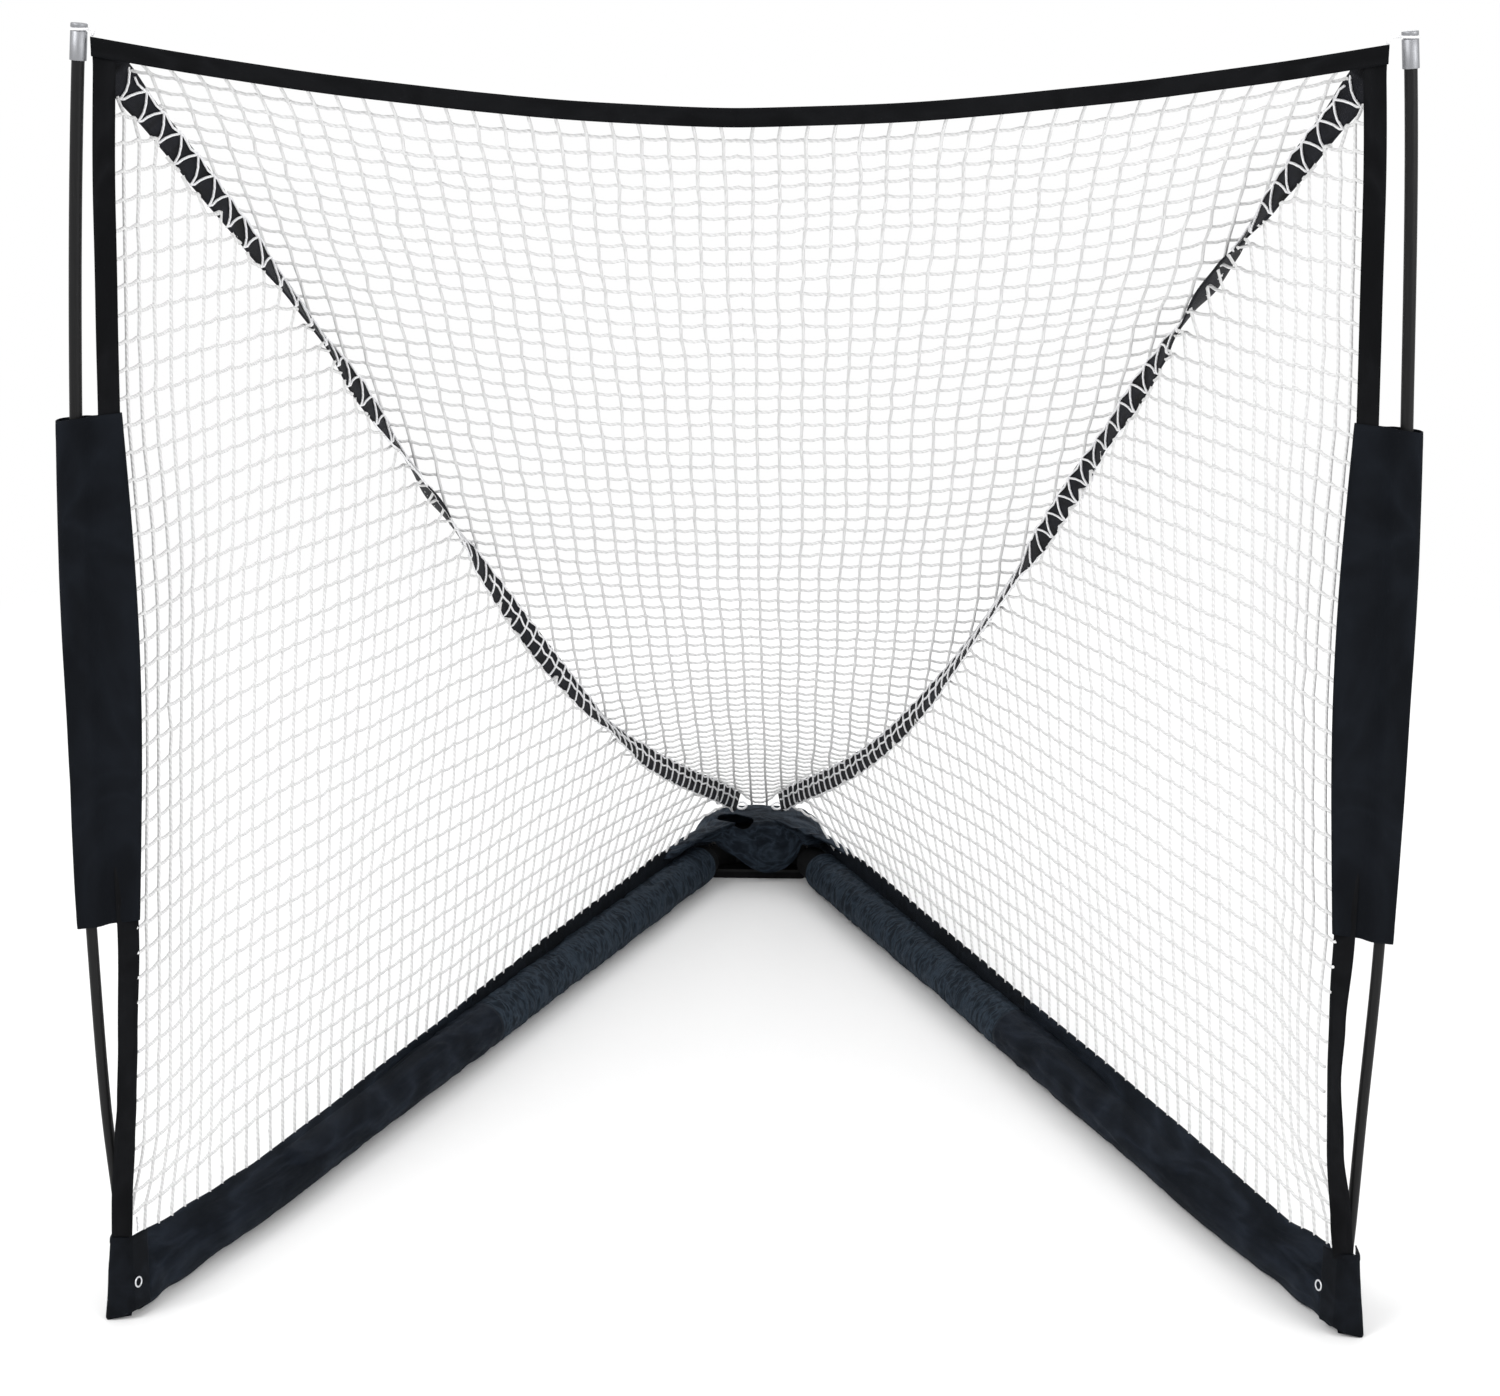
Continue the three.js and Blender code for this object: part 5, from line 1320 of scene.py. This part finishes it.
def corner_place(side):
    def place(u, v):
        up = max(v - CORNER_FLOOR_SHARE, 0) / (1 - CORNER_FLOOR_SHARE)
        spot, outer = corner_spot(CORNER_HEIGHT * up, u)
        z = mix(keyed(corner_lift_keys, outer - spot.x) + CORNER_CLEAR, CORNER_HEIGHT, up)
        tuck = max(1 - v / CORNER_FLOOR_SHARE, 0)
        crease = noise.noise(Vector((spot.x * 26, spot.y * 26 + side, z * 13)))
        fine = noise.noise(Vector((spot.x * 70, spot.y * 70 + side, z * 40)))
        bulge = (CORNER_CREASE * crease + CORNER_WRINKLE * fine) * math.sin(math.pi * up)
        hem = CORNER_HEM * between(up, 0.91, 0.93, 0.99, 1.0)
        seam = CORNER_SEAM * math.exp(-(((spot.x - CORNER_TURN) / SEAM_WIDTH) ** 2))
        middle = Vector((pole_x(0.0), MOUTH))
        spot = spot.lerp(middle, CORNER_TUCK_IN * tuck)
        out = (spot - middle).normalized() * (bulge + hem - seam) * (1 - tuck)
        return Vector((side * (spot.x + out.x), spot.y + out.y + CORNER_CLEAR, z + FLOOR_GAP))
    return place


for name, side in SIDES.items():
    flat = (CORNER_FLAT_WIDTH, CORNER_HEIGHT * (1 + CORNER_FLOOR_SHARE))
    corner = cloth(
        f"{name}_corner", CORNER_COLUMNS, CORNER_ROWS, corner_place(side), flat, corner_cloth,
        wall=CORNER_CLOTH)
    dress(corner, f"{name}_arm", "fabric", f"{name}_corner_pocket")
    print(corner.name, len(corner.data.vertices), "points")

# %% [markdown]
# A plated eyelet is pressed through the cloth beside each corner, where the goal is pegged down.
# It is a ring with a rolled lip, so its profile is a circle that is spun about the ring's axis.
# The two sit at slightly different places, since the cloth is pulled differently on each side.

# %% Eyelets
EYELET_LIP = 0.0009
EYELET_RADIUS = 0.0072
EYELET_PROUD = 0.0022
lip = []
for angle in angles_round(16):
    lip.append((EYELET_LIP * math.sin(angle), EYELET_RADIUS + 1.5 * EYELET_LIP * math.cos(angle)))
eyelet_places = {
    # distance from the middle of the goal, distance in front of the hub, height
    "left": (0.8765, -2.1169, 0.0590), "right": (0.8610, -2.0985, 0.0710),
}
for name, side in SIDES.items():
    x, y, z = eyelet_places[name]
    inward = (on_arm(side, 0, 0, 0) - on_arm(side, 0, 1, 0)).normalized()
    facing = (inward + Vector((0, -0.05, 0.1))).normalized()
    centre = Vector((side * x, y, z)) + facing * EYELET_PROUD
    eyelet = turned(f"{name}_eyelet", lip, centre, facing, zinc_plate, steps=40)
    dress(eyelet, f"{name}_arm", "zinc", f"{name}_grommet")
    print(eyelet.name, "at", tuple(round(c, 3) for c in (side * x, y, z)))

# %% [markdown]
# A loose cloth cover hides the hub. It is flat on top, falls over the arms behind them, rises
# where the sleeves leave it and droops between them. Its hem follows listed shares of the
# hub's size, as in the frame, and noise along and across it makes the soft folds of thin cloth.
# A slot for the hand is cut near its top. The whole cover is laid out twice and cut down the
# middle into one half for each side, and both halves stay with the hub.

# %% Hub cover
COVER_TOP = 0.1165
COVER_MIDDLE = Vector((0.0, 0.020))
COVER_CLOTH = 0.0018
COVER_FOLD = 0.0040
COVER_COLUMNS = 260
COVER_ROWS = 130
COVER_RUN = (0.9, 0.25)
RIPPLE_DEPTH = 0.0026
RIPPLES = 11
front_bend_share = 4.4
rear_bend_share = 8.0
cover_hem = [
    # the hem's points, from the right side round the rear to the left, then along the front
    (0.160, 0.010, 0.022), (0.152, 0.060, 0.010), (0.122, 0.108, 0.009), (0.060, 0.128, 0.013),
    (0.000, 0.131, 0.013), (-0.060, 0.126, 0.013), (-0.112, 0.100, 0.013), (-0.148, 0.050, 0.014),
    (-0.164, -0.020, 0.026), (-0.182, -0.100, 0.072), (-0.205, -0.190, 0.090),
    (-0.197, -0.222, 0.093), (-0.174, -0.204, 0.092), (-0.140, -0.130, 0.093),
    (-0.112, -0.108, 0.0925), (-0.094, -0.088, 0.088), (-0.078, -0.078, 0.071),
    (-0.056, -0.079, 0.056), (-0.028, -0.080, 0.037), (0.000, -0.080, 0.022),
    (0.030, -0.080, 0.0175), (0.058, -0.079, 0.028), (0.080, -0.078, 0.054),
    (0.096, -0.086, 0.086), (0.110, -0.102, 0.091), (0.128, -0.096, 0.093),
    (0.150, -0.092, 0.095), (0.172, -0.112, 0.094), (0.190, -0.175, 0.091),
    (0.203, -0.215, 0.090), (0.210, -0.180, 0.086), (0.186, -0.100, 0.070), (0.168, -0.035, 0.036),
]


def hem_point(turn):
    """A place on the hem at a share of a full turn: a smooth curve through its points."""
    count = len(cover_hem)
    position = (turn % 1.0) * count
    k = int(position) % count
    t = position - int(position)
    a, b, c, d = (Vector(cover_hem[(k + i) % count]) for i in (-1, 0, 1, 2))
    return 0.5 * (
        2 * b + (c - a) * t + (2 * a - 5 * b + 4 * c - d) * t * t + (3 * b - a - 3 * c + d) * t ** 3)


def cover_place(u, v):
    edge = hem_point(u)
    share = math.sin(math.pi / 2 * max(v, 0.001))
    front = 1 - smooth(edge.y, -0.06, 0.06)
    bend = share ** mix(rear_bend_share, front_bend_share, front)
    x = mix(COVER_MIDDLE.x, edge.x, share)
    y = mix(COVER_MIDDLE.y, edge.y, share)
    spot = Vector((x, y, 0))
    pleat = 1 - 2 * abs(noise.noise(Vector((x * 9, y * 26, 3))))
    cross = 1 - 2 * abs(noise.noise(Vector((x * 20 + y * 14, y * 9, 7))))
    fold = 0.9 * (pleat - 0.5) + 0.6 * (cross - 0.5) + 0.4 * noise.noise(spot * 60)
    z = mix(COVER_TOP, edge.z, bend) + COVER_FOLD * fold * smooth(share, 0.1, 0.5)
    ripple = math.sin(2 * math.pi * RIPPLES * u + 3 * noise.noise(spot * 9))
    out = spot.normalized() * (RIPPLE_DEPTH * ripple * bend * bend)
    return Vector((x + out.x, y + out.y, z + FLOOR_GAP))


SLOT_MIDDLE = Vector((-0.050, -0.014))
SLOT_HALF = Vector((0.041, 0.027))
SLOT_TURN = math.radians(-33)


def in_slot(u, v):
    point = cover_place(u, v)
    away = Vector((point.x, point.y)) - SLOT_MIDDLE
    along = away.x * math.cos(SLOT_TURN) + away.y * math.sin(SLOT_TURN)
    across = away.y * math.cos(SLOT_TURN) - away.x * math.sin(SLOT_TURN)
    return (along / SLOT_HALF.x) ** 4 + (across / SLOT_HALF.y) ** 2 < 1


for name, side in SIDES.items():
    cover = cloth(
        f"{name}_hub_cloth", COVER_COLUMNS, COVER_ROWS, cover_place, COVER_RUN, cover_cloth,
        closed=True, hole=in_slot)
    bm = bmesh.new()
    bm.from_mesh(cover.data)
    parts = bm.verts[:] + bm.edges[:] + bm.faces[:]
    bmesh.ops.bisect_plane(
        bm, geom=parts, plane_co=(0, 0, 0), plane_no=(-side, 0, 0), clear_outer=True)
    bm.to_mesh(cover.data)
    bm.free()
    add_wall(cover, COVER_CLOTH, -1.0)
    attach(cover, "hub")
    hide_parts("hub_cover")
    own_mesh(cover)
    print(cover.name, len(cover.data.vertices), "points")

# %% [markdown]
# The straps are black webbing that turns over and over on its way from the mouth's top corner to
# the hub. Wide and narrow places show how far it has turned, so the twist is a list of keys: the
# place along the strap and the angle that it is turned away from facing the front. The webbing
# is sewn flat at both ends, so it is a little wider there.

# %% Straps
STRAP_ROWS = 260
STRAP_COLUMNS = 6
STRAP_FIRST = -0.009
STRAP_LAST = 0.990
CORNER_FLARE = 0.28
HUB_FLARE = 0.16
twist_keys = {
    # share of the way down, degrees turned away from facing the front
    "left": [
        (0.00, 15), (0.08, 20), (0.14, 45), (0.19, 75), (0.23, 82), (0.28, 48), (0.31, 60),
        (0.335, 86), (0.36, 98), (0.385, 118), (0.42, 92), (0.46, 50), (0.52, 15), (0.58, 10),
        (0.64, 40), (0.69, 75), (0.72, 60), (0.78, 20), (0.88, 4), (0.96, 4), (1.0, 25),
    ],
    "right": [
        (0.00, 12), (0.06, 20), (0.10, 50), (0.13, 84), (0.155, 118), (0.18, 128), (0.21, 94),
        (0.24, 60), (0.27, 35), (0.32, 55), (0.37, 20), (0.42, 30), (0.46, 78), (0.52, 80),
        (0.58, 66), (0.63, 44), (0.70, 22), (0.78, 10), (0.9, 8), (0.96, 12), (1.0, 30),
    ],
}


def strap_frame(name, share):
    """Centre, direction along, direction across and direction through the strap."""
    side = SIDES[name]
    step = 0.002
    centre = strap_centre(side, share)
    along = (strap_centre(side, share + step) - strap_centre(side, share - step)).normalized()
    to_front = (CAMERA_PLACE - centre).normalized()
    across = along.cross(to_front).normalized()
    turn = Quaternion(along, side * math.radians(keyed(twist_keys[name], share)))
    across.rotate(turn)
    return centre, along, across, along.cross(across)


def hub_flare(share):
    """How much wider the strap is near the hub."""
    return HUB_FLARE * smooth(share, 0.7, 0.85)


def strap_place(name):
    def place(u, v):
        share = mix(STRAP_FIRST, STRAP_LAST, v)
        centre, _, across, _ = strap_frame(name, share)
        flare = 1 + CORNER_FLARE * (1 - smooth(share, 0.0, 0.04)) + hub_flare(share)
        return centre + across * (STRAP_WIDTH * flare * (u - 0.5))
    return place


for name in SIDES:
    flat = (STRAP_WIDTH, STRAP_RUN)
    strap = cloth(
        f"{name}_webbing", STRAP_COLUMNS, STRAP_ROWS, strap_place(name), flat, webbing,
        wall=STRAP_THICKNESS)
    dress(strap, f"{name}_arm", "webbing", f"{name}_strap")
    print(strap.name, "turns through", len(twist_keys[name]), "keys")

# %% [markdown]
# White cord laces the back net and the side net to each strap and crosses it once for each mesh.
# Near the top it comes back over the strap's front, so it shows as open crosses. Further down it
# comes back behind, and only its rungs show. The nets' edge cords run along the strap's edges and
# its middle. All of it is drawn on the turning strap by shares across it, so it twists with it.

# %% Strap lacing
LACING_RADIUS = 0.0019
LACING_PITCH = 0.052
RUNG_PITCH = 0.038
LACING_BOW = 0.006
LACING_FIRST = 0.004
LACING_LAST = 0.985
OPEN_LACING_END = 0.42
EDGE_EASE = 2.5


def edge_side(name, share, up):
    """Which way across leads to the strap's upper edge (or lower), eased where it turns over."""
    _, _, across, _ = strap_frame(name, share)
    return up * clamp(across.z * EDGE_EASE, -1.0)


def on_strap(name, share, across_share, face):
    """A point on a face of the strap (1 front, -1 back, 0 edge), just clear of the cloth."""
    centre, _, across, through = strap_frame(name, share)
    wide = STRAP_WIDTH / 2 * (1 + hub_flare(share)) + 0.6 * LACING_RADIUS
    deep = STRAP_THICKNESS / 2 + LACING_RADIUS
    return centre + across * (wide * across_share) - through * (deep * face)


def strap_edge(name, share, up):
    """Where the net is laced on: the strap's upper edge, or its lower one if up is -1."""
    return on_strap(name, share, edge_side(name, share, up), 0.0)


def zigzag(name, first, last, pitch, behind_it):
    """A cord that crosses the strap's front and comes back, once for each mesh of the net. Past
    the open part it comes back behind the strap, so only its rungs show."""
    line = []
    legs = 2 * round(STRAP_RUN * (last - first) / pitch)
    step = (last - first) / legs
    for k in range(legs):
        start = first + step * k
        end = start + step
        down = k % 2 == 0
        behind = not down and behind_it
        slack = 0.5 + 0.5 * noise.noise(Vector((k * 0.7, 3, SIDES[name])))
        shift = step * (0.25 if down else -0.25)
        bow = 0 if down else LACING_BOW * slack / STRAP_RUN
        for t in (0.0, 0.12, 0.37, 0.63, 0.88):
            swing = math.sin(math.pi * t)
            share = mix(start, end, t) + bow * swing + shift * swing ** 2
            depth = 0.0 if t == 0 else 1.0
            across = (1 if down else -1) * (1 - 2 * t) * edge_side(name, share, 1)
            line.append((on_strap(name, share, across, -depth if behind else depth), 1.0))
    return line


def edge_cord(name, up, inset, first, swell):
    """The net's edge cord along the strap: a little wavy, and pinched at each lacing."""
    line = []
    steps = round((LACING_LAST - first) * STRAP_RUN / (LACING_PITCH / 4))
    for k in range(steps + 1):
        share = mix(first, LACING_LAST, k / steps)
        wander = 0.10 * math.sin(math.pi * k / 2) + 0.1 * noise.noise(Vector((k * 0.3, up, first)))
        across = edge_side(name, share, up) * (1 - inset) + wander
        line.append((on_strap(name, share, across, 0.0 if inset < 0.1 else 1.0), swell))
    return line


for name in SIDES:
    lines = [
        zigzag(name, LACING_FIRST, OPEN_LACING_END, LACING_PITCH, False),
        zigzag(name, OPEN_LACING_END, LACING_LAST, RUNG_PITCH, True),
        edge_cord(name, 1, 0.16, 0.01, 0.9), edge_cord(name, -1, 0.0, 0.30, 0.9),
        edge_cord(name, 1, 0.85, OPEN_LACING_END + 0.05, 1.0),
    ]
    lacing = strands(f"{name}_strap_lacing", lines, LACING_RADIUS, lacing_cord)
    dress(lacing, f"{name}_arm", "cord")
    print(lacing.name, len(lacing.data.polygons), "faces")

# %% [markdown]
# The net is knotted cord with a 38 mm mesh. Its cords are drawn one by one, along the rows and
# down the columns of the mesh, on the same surfaces as in the frame. A knot is a short swelling
# where two cords cross, each length between knots hangs a little, and smooth noise gives the
# loose places of a real net. Curves with a bevel make round cord with few faces.

# %% Net helpers
NET_PITCH = 0.038
NET_RADIUS = 0.0025
KNOT_SWELL = 1.25
KNOT_SHARE = 0.15
CORD_DIP = 0.0014
CORD_STEP = 0.0016
KNOT_ROOM = 0.006


def loosen(point, amount, seed):
    """Moves a knot a little, the same way each run, by smooth noise of its place."""
    wide_seeds = ((seed, 0, 0), (0, seed, 0), (0, 0, seed))
    close_seeds = ((seed, 5, 0), (0, seed, 5), (5, 0, seed))
    wide = Vector([noise.noise(point * 3.1 + Vector(shift)) for shift in wide_seeds])
    close = Vector([noise.noise(point * 23 + Vector(shift)) for shift in close_seeds])
    return point + wide * amount + close * amount * 0.45


def knotted(knots, dip=CORD_DIP, step=0.0):
    """The cord through a row of knots: swollen at each, slack between them. A level cord leaves
    each knot a step low and reaches the next a step high, because the knots lie at a slant."""
    line = [(knots[0], 1.0)]
    for a, b in zip(knots, knots[1:]):
        full = min((b - a).length / NET_PITCH, 1.0)
        low = Vector((0, 0, -step * full))
        hang = Vector((0, 0, -dip * full))
        line.append((a.lerp(b, KNOT_SHARE) + low, 1.0))
        line.append((a.lerp(b, 0.5) + hang, 1.0))
        line.append((a.lerp(b, 1 - KNOT_SHARE) - low, 1.0))
        line.append((b, KNOT_SWELL))
    return line


print("net mesh:", NET_PITCH * 1000, "mm")

# %% [markdown]
# Each side net fills the triangle between the mouth, the strap and the arm. Its columns stand on
# the flap's edge and end on the strap, and its level rows run back from the mouth until they meet
# the strap. Near the mouth it is drawn to the side band and the pocket, whose line it follows.

# %% Side nets
NET_END = 0.012
NET_HANG = 0.004
NET_SLACK = 0.0065
NET_BASE = 0.114
NET_BELOW_EDGE = 0.004
NET_UNDER_BAND = 0.006
NET_BEHIND_MOUTH = 0.002
HUB_CLEARANCE = 0.15
side_net_end = strap_length - NET_END


def strap_share_at(p):
    """The share of the strap that is above a distance p back from the mouth."""
    return clamp(p / strap_length)


def column_at(i):
    return i * NET_PITCH - NET_PITCH / 3


def side_top(p):
    return strap_centre(RIGHT, strap_share_at(p)).z - NET_HANG


def arm_along(p):
    return arm_length - p * (arm_length / strap_length)


def side_floor(side, p):
    return skirt_top(side, arm_along(p)) - NET_BELOW_EDGE


def flap_point(side, p):
    along = arm_along(p)
    half, _, _ = skirt_at(side, along)
    return on_arm(side, along, ARM_OFFSET + FLAP_OUT * half / SLEEVE_RADIUS, 0)


def side_net_place(side, p, z):
    centre = strap_centre(side, strap_share_at(p))
    foot = flap_point(side, p)
    floor = side_floor(side, p)
    rise = clamp((z - floor) / max(side_top(p) - floor, 0.001))
    point = Vector((mix(foot.x, centre.x, rise), mix(foot.y, centre.y, rise), z))
    at_mouth = strap_centre(side, 0.0)
    first_foot = flap_point(side, 0.0)
    mouth_floor = side_floor(side, 0.0)
    mouth_rise = clamp((z - mouth_floor) / (side_top(0.0) - mouth_floor))
    near = (1 - smooth(p, 0, 0.30)) * smooth(z, floor + 0.01, floor + 0.16)
    mouth_x = side * (pocket_inner(z) + band_lean(side, z) + NET_UNDER_BAND)
    point.x += (mouth_x - mix(first_foot.x, at_mouth.x, mouth_rise)) * near
    point.y += (MOUTH + NET_BEHIND_MOUTH - mix(first_foot.y, at_mouth.y, mouth_rise)) * near
    inside = smooth(p, 0, 0.08) * smooth(z, floor, floor + 0.08) * smooth(side_top(p) - z, 0, 0.08)
    return mix(point, loosen(point, NET_SLACK, side * 7), inside)


def last_p(z):
    """How far back a level row runs before it meets the strap."""
    low, high = 0.0, side_net_end
    if side_top(high) > z:
        return high
    for _ in range(30):
        middle = (low + high) / 2
        if side_top(middle) > z:
            low = middle
        else:
            high = middle
    return low


def side_net_lines(side):
    lines = []
    columns = int(side_net_end / NET_PITCH)
    name = SIDE_NAMES[side]
    rows = int((side_top(0) - NET_BASE) / NET_PITCH) + 1
    for i in range(1, columns + 1):
        p = column_at(i)
        if p > side_net_end - HUB_CLEARANCE:
            break
        bottom, top = side_floor(side, p), side_top(p)
        inner = [NET_BASE + j * NET_PITCH for j in range(rows + 1)]
        inner = [z for z in inner if bottom + KNOT_ROOM < z < top - KNOT_ROOM]
        knots = [side_net_place(side, p, z) for z in [bottom, *inner]]
        lines.append(knotted([*knots, strap_edge(name, strap_share_at(p), -1)]))
    for j in range(1, rows + 1):
        z = NET_BASE + j * NET_PITCH
        end = last_p(z)
        start = 0.0
        inner = [column_at(i) for i in range(1, columns + 1)]
        inner = [p for p in inner if p < end - KNOT_ROOM and side_floor(side, p) + KNOT_ROOM < z]
        if not inner:
            continue
        if z < side_floor(side, 0):
            start = inner[0] - NET_PITCH * 0.6
        knots = [side_net_place(side, p, z) for p in [max(start, 0), *inner]]
        last = strap_edge(name, strap_share_at(end), -1)
        if end >= side_net_end:
            last = side_net_place(side, end, z)
        lines.append(knotted([*knots, last], step=CORD_STEP))
    return lines


for name, side in SIDES.items():
    net = strands(f"{name}_net", side_net_lines(side), NET_RADIUS, net_cord)
    dress(net, f"{name}_arm", "net", f"{name}_side_net")
    print(net.name, len(net.data.polygons), "faces")

# %% [markdown]
# The back net hangs between the straps, from the top band down to the hub. Each arm carries its
# strap, so each half of the back net has to gather when its arm folds. The net is made in level
# strips, left and right, which stay with the hub. For each strip the share of its length that is
# kept when its own stretch of strap comes in is worked out, but the strip is not squashed. The
# cuts run through knots, so at rest no seam shows. One net that bends with a mesh cage would gather
# better.

# %% Back net
MOST_STRIPS = 11
SPARE_COLUMNS = 8
BACK_SLACK = 0.009
BACK_COLUMN = 0.0364
BACK_ROW = 0.0423
BACK_FIRST = 0.018
BACK_NARROWING = 0.11
BACK_EDGE = 0.001
BACK_TAUT = 0.40
BACK_BEYOND = 0.055
BACK_DIP = 0.003
BACK_BEHIND = 0.003
LEAST_HALF = 0.012
STRAP_HELD = 0.99
net_slack_share = 0.85
strap_slope = (STRAP_START - STRAP_STOP).length
back_rows = int((strap_slope + BACK_BEYOND - BACK_FIRST) / BACK_ROW) + 1


def row_down(j):
    return BACK_FIRST + (j - 1) * BACK_ROW


def back_half(name, down):
    """Half the net's width at a distance down: it ends on the strap's upper edge."""
    share = down / strap_slope
    edge = strap_edge(name, clamp(share, 0.0, STRAP_HELD), 1)
    beyond = max(share - STRAP_HELD, 0.0) * (STRAP_START.x - STRAP_STOP.x)
    return max(abs(edge.x) - beyond - BACK_EDGE, 0.004)


def column_x(i, down):
    return (i + 0.5) * BACK_COLUMN * (1 - BACK_NARROWING * down / strap_slope)


def back_place(x, down):
    """A point of the net. It leaves the strap's upper edge, and its middle hangs less than the
    straps do, because it is pulled straight between the top band and the hub."""
    share = down / strap_slope
    name = "left" if x < 0 else "right"
    centre = strap_centre(SIDES[name], share)
    held = clamp(share, 0.0, STRAP_HELD)
    rise = strap_edge(name, held, 1) - strap_centre(SIDES[name], held)
    near = min((x / max(back_half(name, down), 0.01)) ** 2, 1.0)
    slack = TOP_BAND_SAG * net_slack_share * max(1 - share, 0) ** 2
    slack -= BACK_TAUT * smooth(share, 0.2, 0.8) * strap_sag(share)
    z = centre.z - slack * (1 - near) + rise.z * near
    point = Vector((x, centre.y + (rise.y + BACK_BEHIND) * near, z))
    free = smooth(1 - near, 0, 0.16) * smooth(down, 0, 0.08) * smooth(abs(x), 0, 0.03)
    return mix(point, loosen(point, BACK_SLACK * (1 - 0.5 * share), 3), free)


def band_foot(x):
    return Vector((x, MOUTH - 0.001, top_band_edge(x) - TOP_BAND_HEIGHT + 0.004))


def back_strip(side, first, last):
    """The rows first to last, and the column cords between them, on one side."""
    lines = []
    name = SIDE_NAMES[side]
    count = int(back_half(name, 0) / BACK_COLUMN) + SPARE_COLUMNS
    for j in range(max(first, 1), last):
        down = row_down(j)
        edge = max(back_half(name, down), LEAST_HALF)
        inner = [column_x(i, down) for i in range(count) if column_x(i, down) < edge - KNOT_ROOM]
        knots = [back_place(side * x, down) for x in [0.0, *inner]]
        share = min(down / strap_slope, 1.0)
        knots.append(strap_edge(name, share, 1) if share < STRAP_HELD else back_place(side * edge, down))
        if side == LEFT:
            knots.reverse()
        lines.append(knotted(knots, dip=mix(CORD_DIP, BACK_DIP, down / strap_slope), step=CORD_STEP / 2))
    for i in range(count):
        knots = []
        for j in range(first, last + 1):
            down = row_down(j)
            x = column_x(i, down)
            if j == 0:
                if x < TOP_BAND_HALF - BAND_WIDTH:
                    knots.append(band_foot(side * x + 0.004 * side))
                continue
            if x > back_half(name, down):
                before = down - BACK_ROW
                spare = back_half(name, before) - column_x(i, before)
                lost = spare + x - back_half(name, down)
                if knots and spare > 0:
                    at = before + BACK_ROW * spare / lost
                    knots.append(strap_edge(name, min(at / strap_slope, STRAP_HELD), 1))
                break
            knots.append(back_place(side * x, down))
        if len(knots) > 1:
            lines.append(knotted(knots, dip=0.0))
    return lines


per_strip = math.ceil(back_rows / MOST_STRIPS)
strip_starts = range(0, back_rows, per_strip)
for name, side in SIDES.items():
    for strip, first in enumerate(strip_starts, 1):
        last = min(first + per_strip, back_rows)
        net = strands(
            f"{name}_back_net_{strip:02d}", back_strip(side, first, last), NET_RADIUS, net_cord)
        middle_share = min(row_down((first + last) / 2) / strap_slope, 1.0)
        gathers(net, side, strap_centre(side, middle_share))
        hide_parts("back_net")
print("back net:", back_rows, "rows in", len(strip_starts), "strips a side")

# %% [markdown]
# White cord ties the whole thing together: a loop round each cap's groove that runs to the top
# band's corner, a tie at each front corner and a loop from each strap to the hub's cover. The cap
# loop stretches when a pole is lifted; here it is drawn once and carried by neither the arm nor the pole.

# %% Loops and ties
CORD_RADIUS = 0.0018
LEG_STEPS = 8
for name, side in SIDES.items():
    groove = POLE_TOP - GROOVE_TOP - GROOVE_HEIGHT / 2
    centre = Vector((leaning_x(name, groove), MOUTH, groove))
    ring_radius = CAP_RADIUS - GROOVE_DEPTH + CORD_RADIUS + 0.0002
    ring = []
    for angle in angles_round(28):
        ring.append(centre + Vector((-side * math.cos(angle), math.sin(angle), 0)) * ring_radius)
    corner = Vector((side * (TOP_BAND_HALF - 0.002), MOUTH, TOP_BAND_END + 0.001))
    start = centre + Vector((-side * (ring_radius + CORD_RADIUS * 0.6), 0, 0))
    legs = []
    for front in (-1, 1):
        bow = Vector((-side * 0.004, front * 0.0022, 0.003))
        leg = []
        for k in range(LEG_STEPS + 1):
            share = k / LEG_STEPS
            leg.append((start.lerp(corner, share) + bow * math.sin(math.pi * share), 1.0))
        legs.append(leg)
    loop = strands(
        f"{name}_loop", [[(p, 1.0) for p in ring], *legs], CORD_RADIUS, lacing_cord, sides=8)
    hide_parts(f"{name}_cap_loop")
    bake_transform(loop)

    low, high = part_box(f"{name}_lower_tie")
    knot = (low + high) / 2
    tie = [
        (knot + Vector((0, 0, 0.012)), 1.0),
        (knot + Vector((-side * 0.002, -0.002, 0.0)), 1.5),
        (knot + Vector((0, 0, -0.010)), 1.0),
    ]
    lower = strands(f"{name}_tie", [tie], CORD_RADIUS, lacing_cord, sides=8)
    dress(lower, f"{name}_arm", "cord", f"{name}_lower_tie")

    low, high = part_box(f"{name}_hub_loop")
    middle = (low + high) / 2
    half = (high - low) / 2
    eye = []
    for angle in angles_round(24):
        x = half.x * 0.8 * math.cos(angle)
        y = half.y * 0.8 * math.sin(angle)
        z = 0.003 + half.z * 0.7 * math.sin(angle)
        eye.append((middle + Vector((x, y, z)), 1.5))
    hook = strands(f"{name}_hub_eye", [eye], CORD_RADIUS, lacing_cord, sides=8)
    dress(hook, f"{name}_arm", "cord", f"{name}_hub_loop")
    print("ties on the", name)

# %% [markdown]
# The last cell brings the scene up to date and hands it over.

# %% Hand over
bpy.context.view_layer.update()
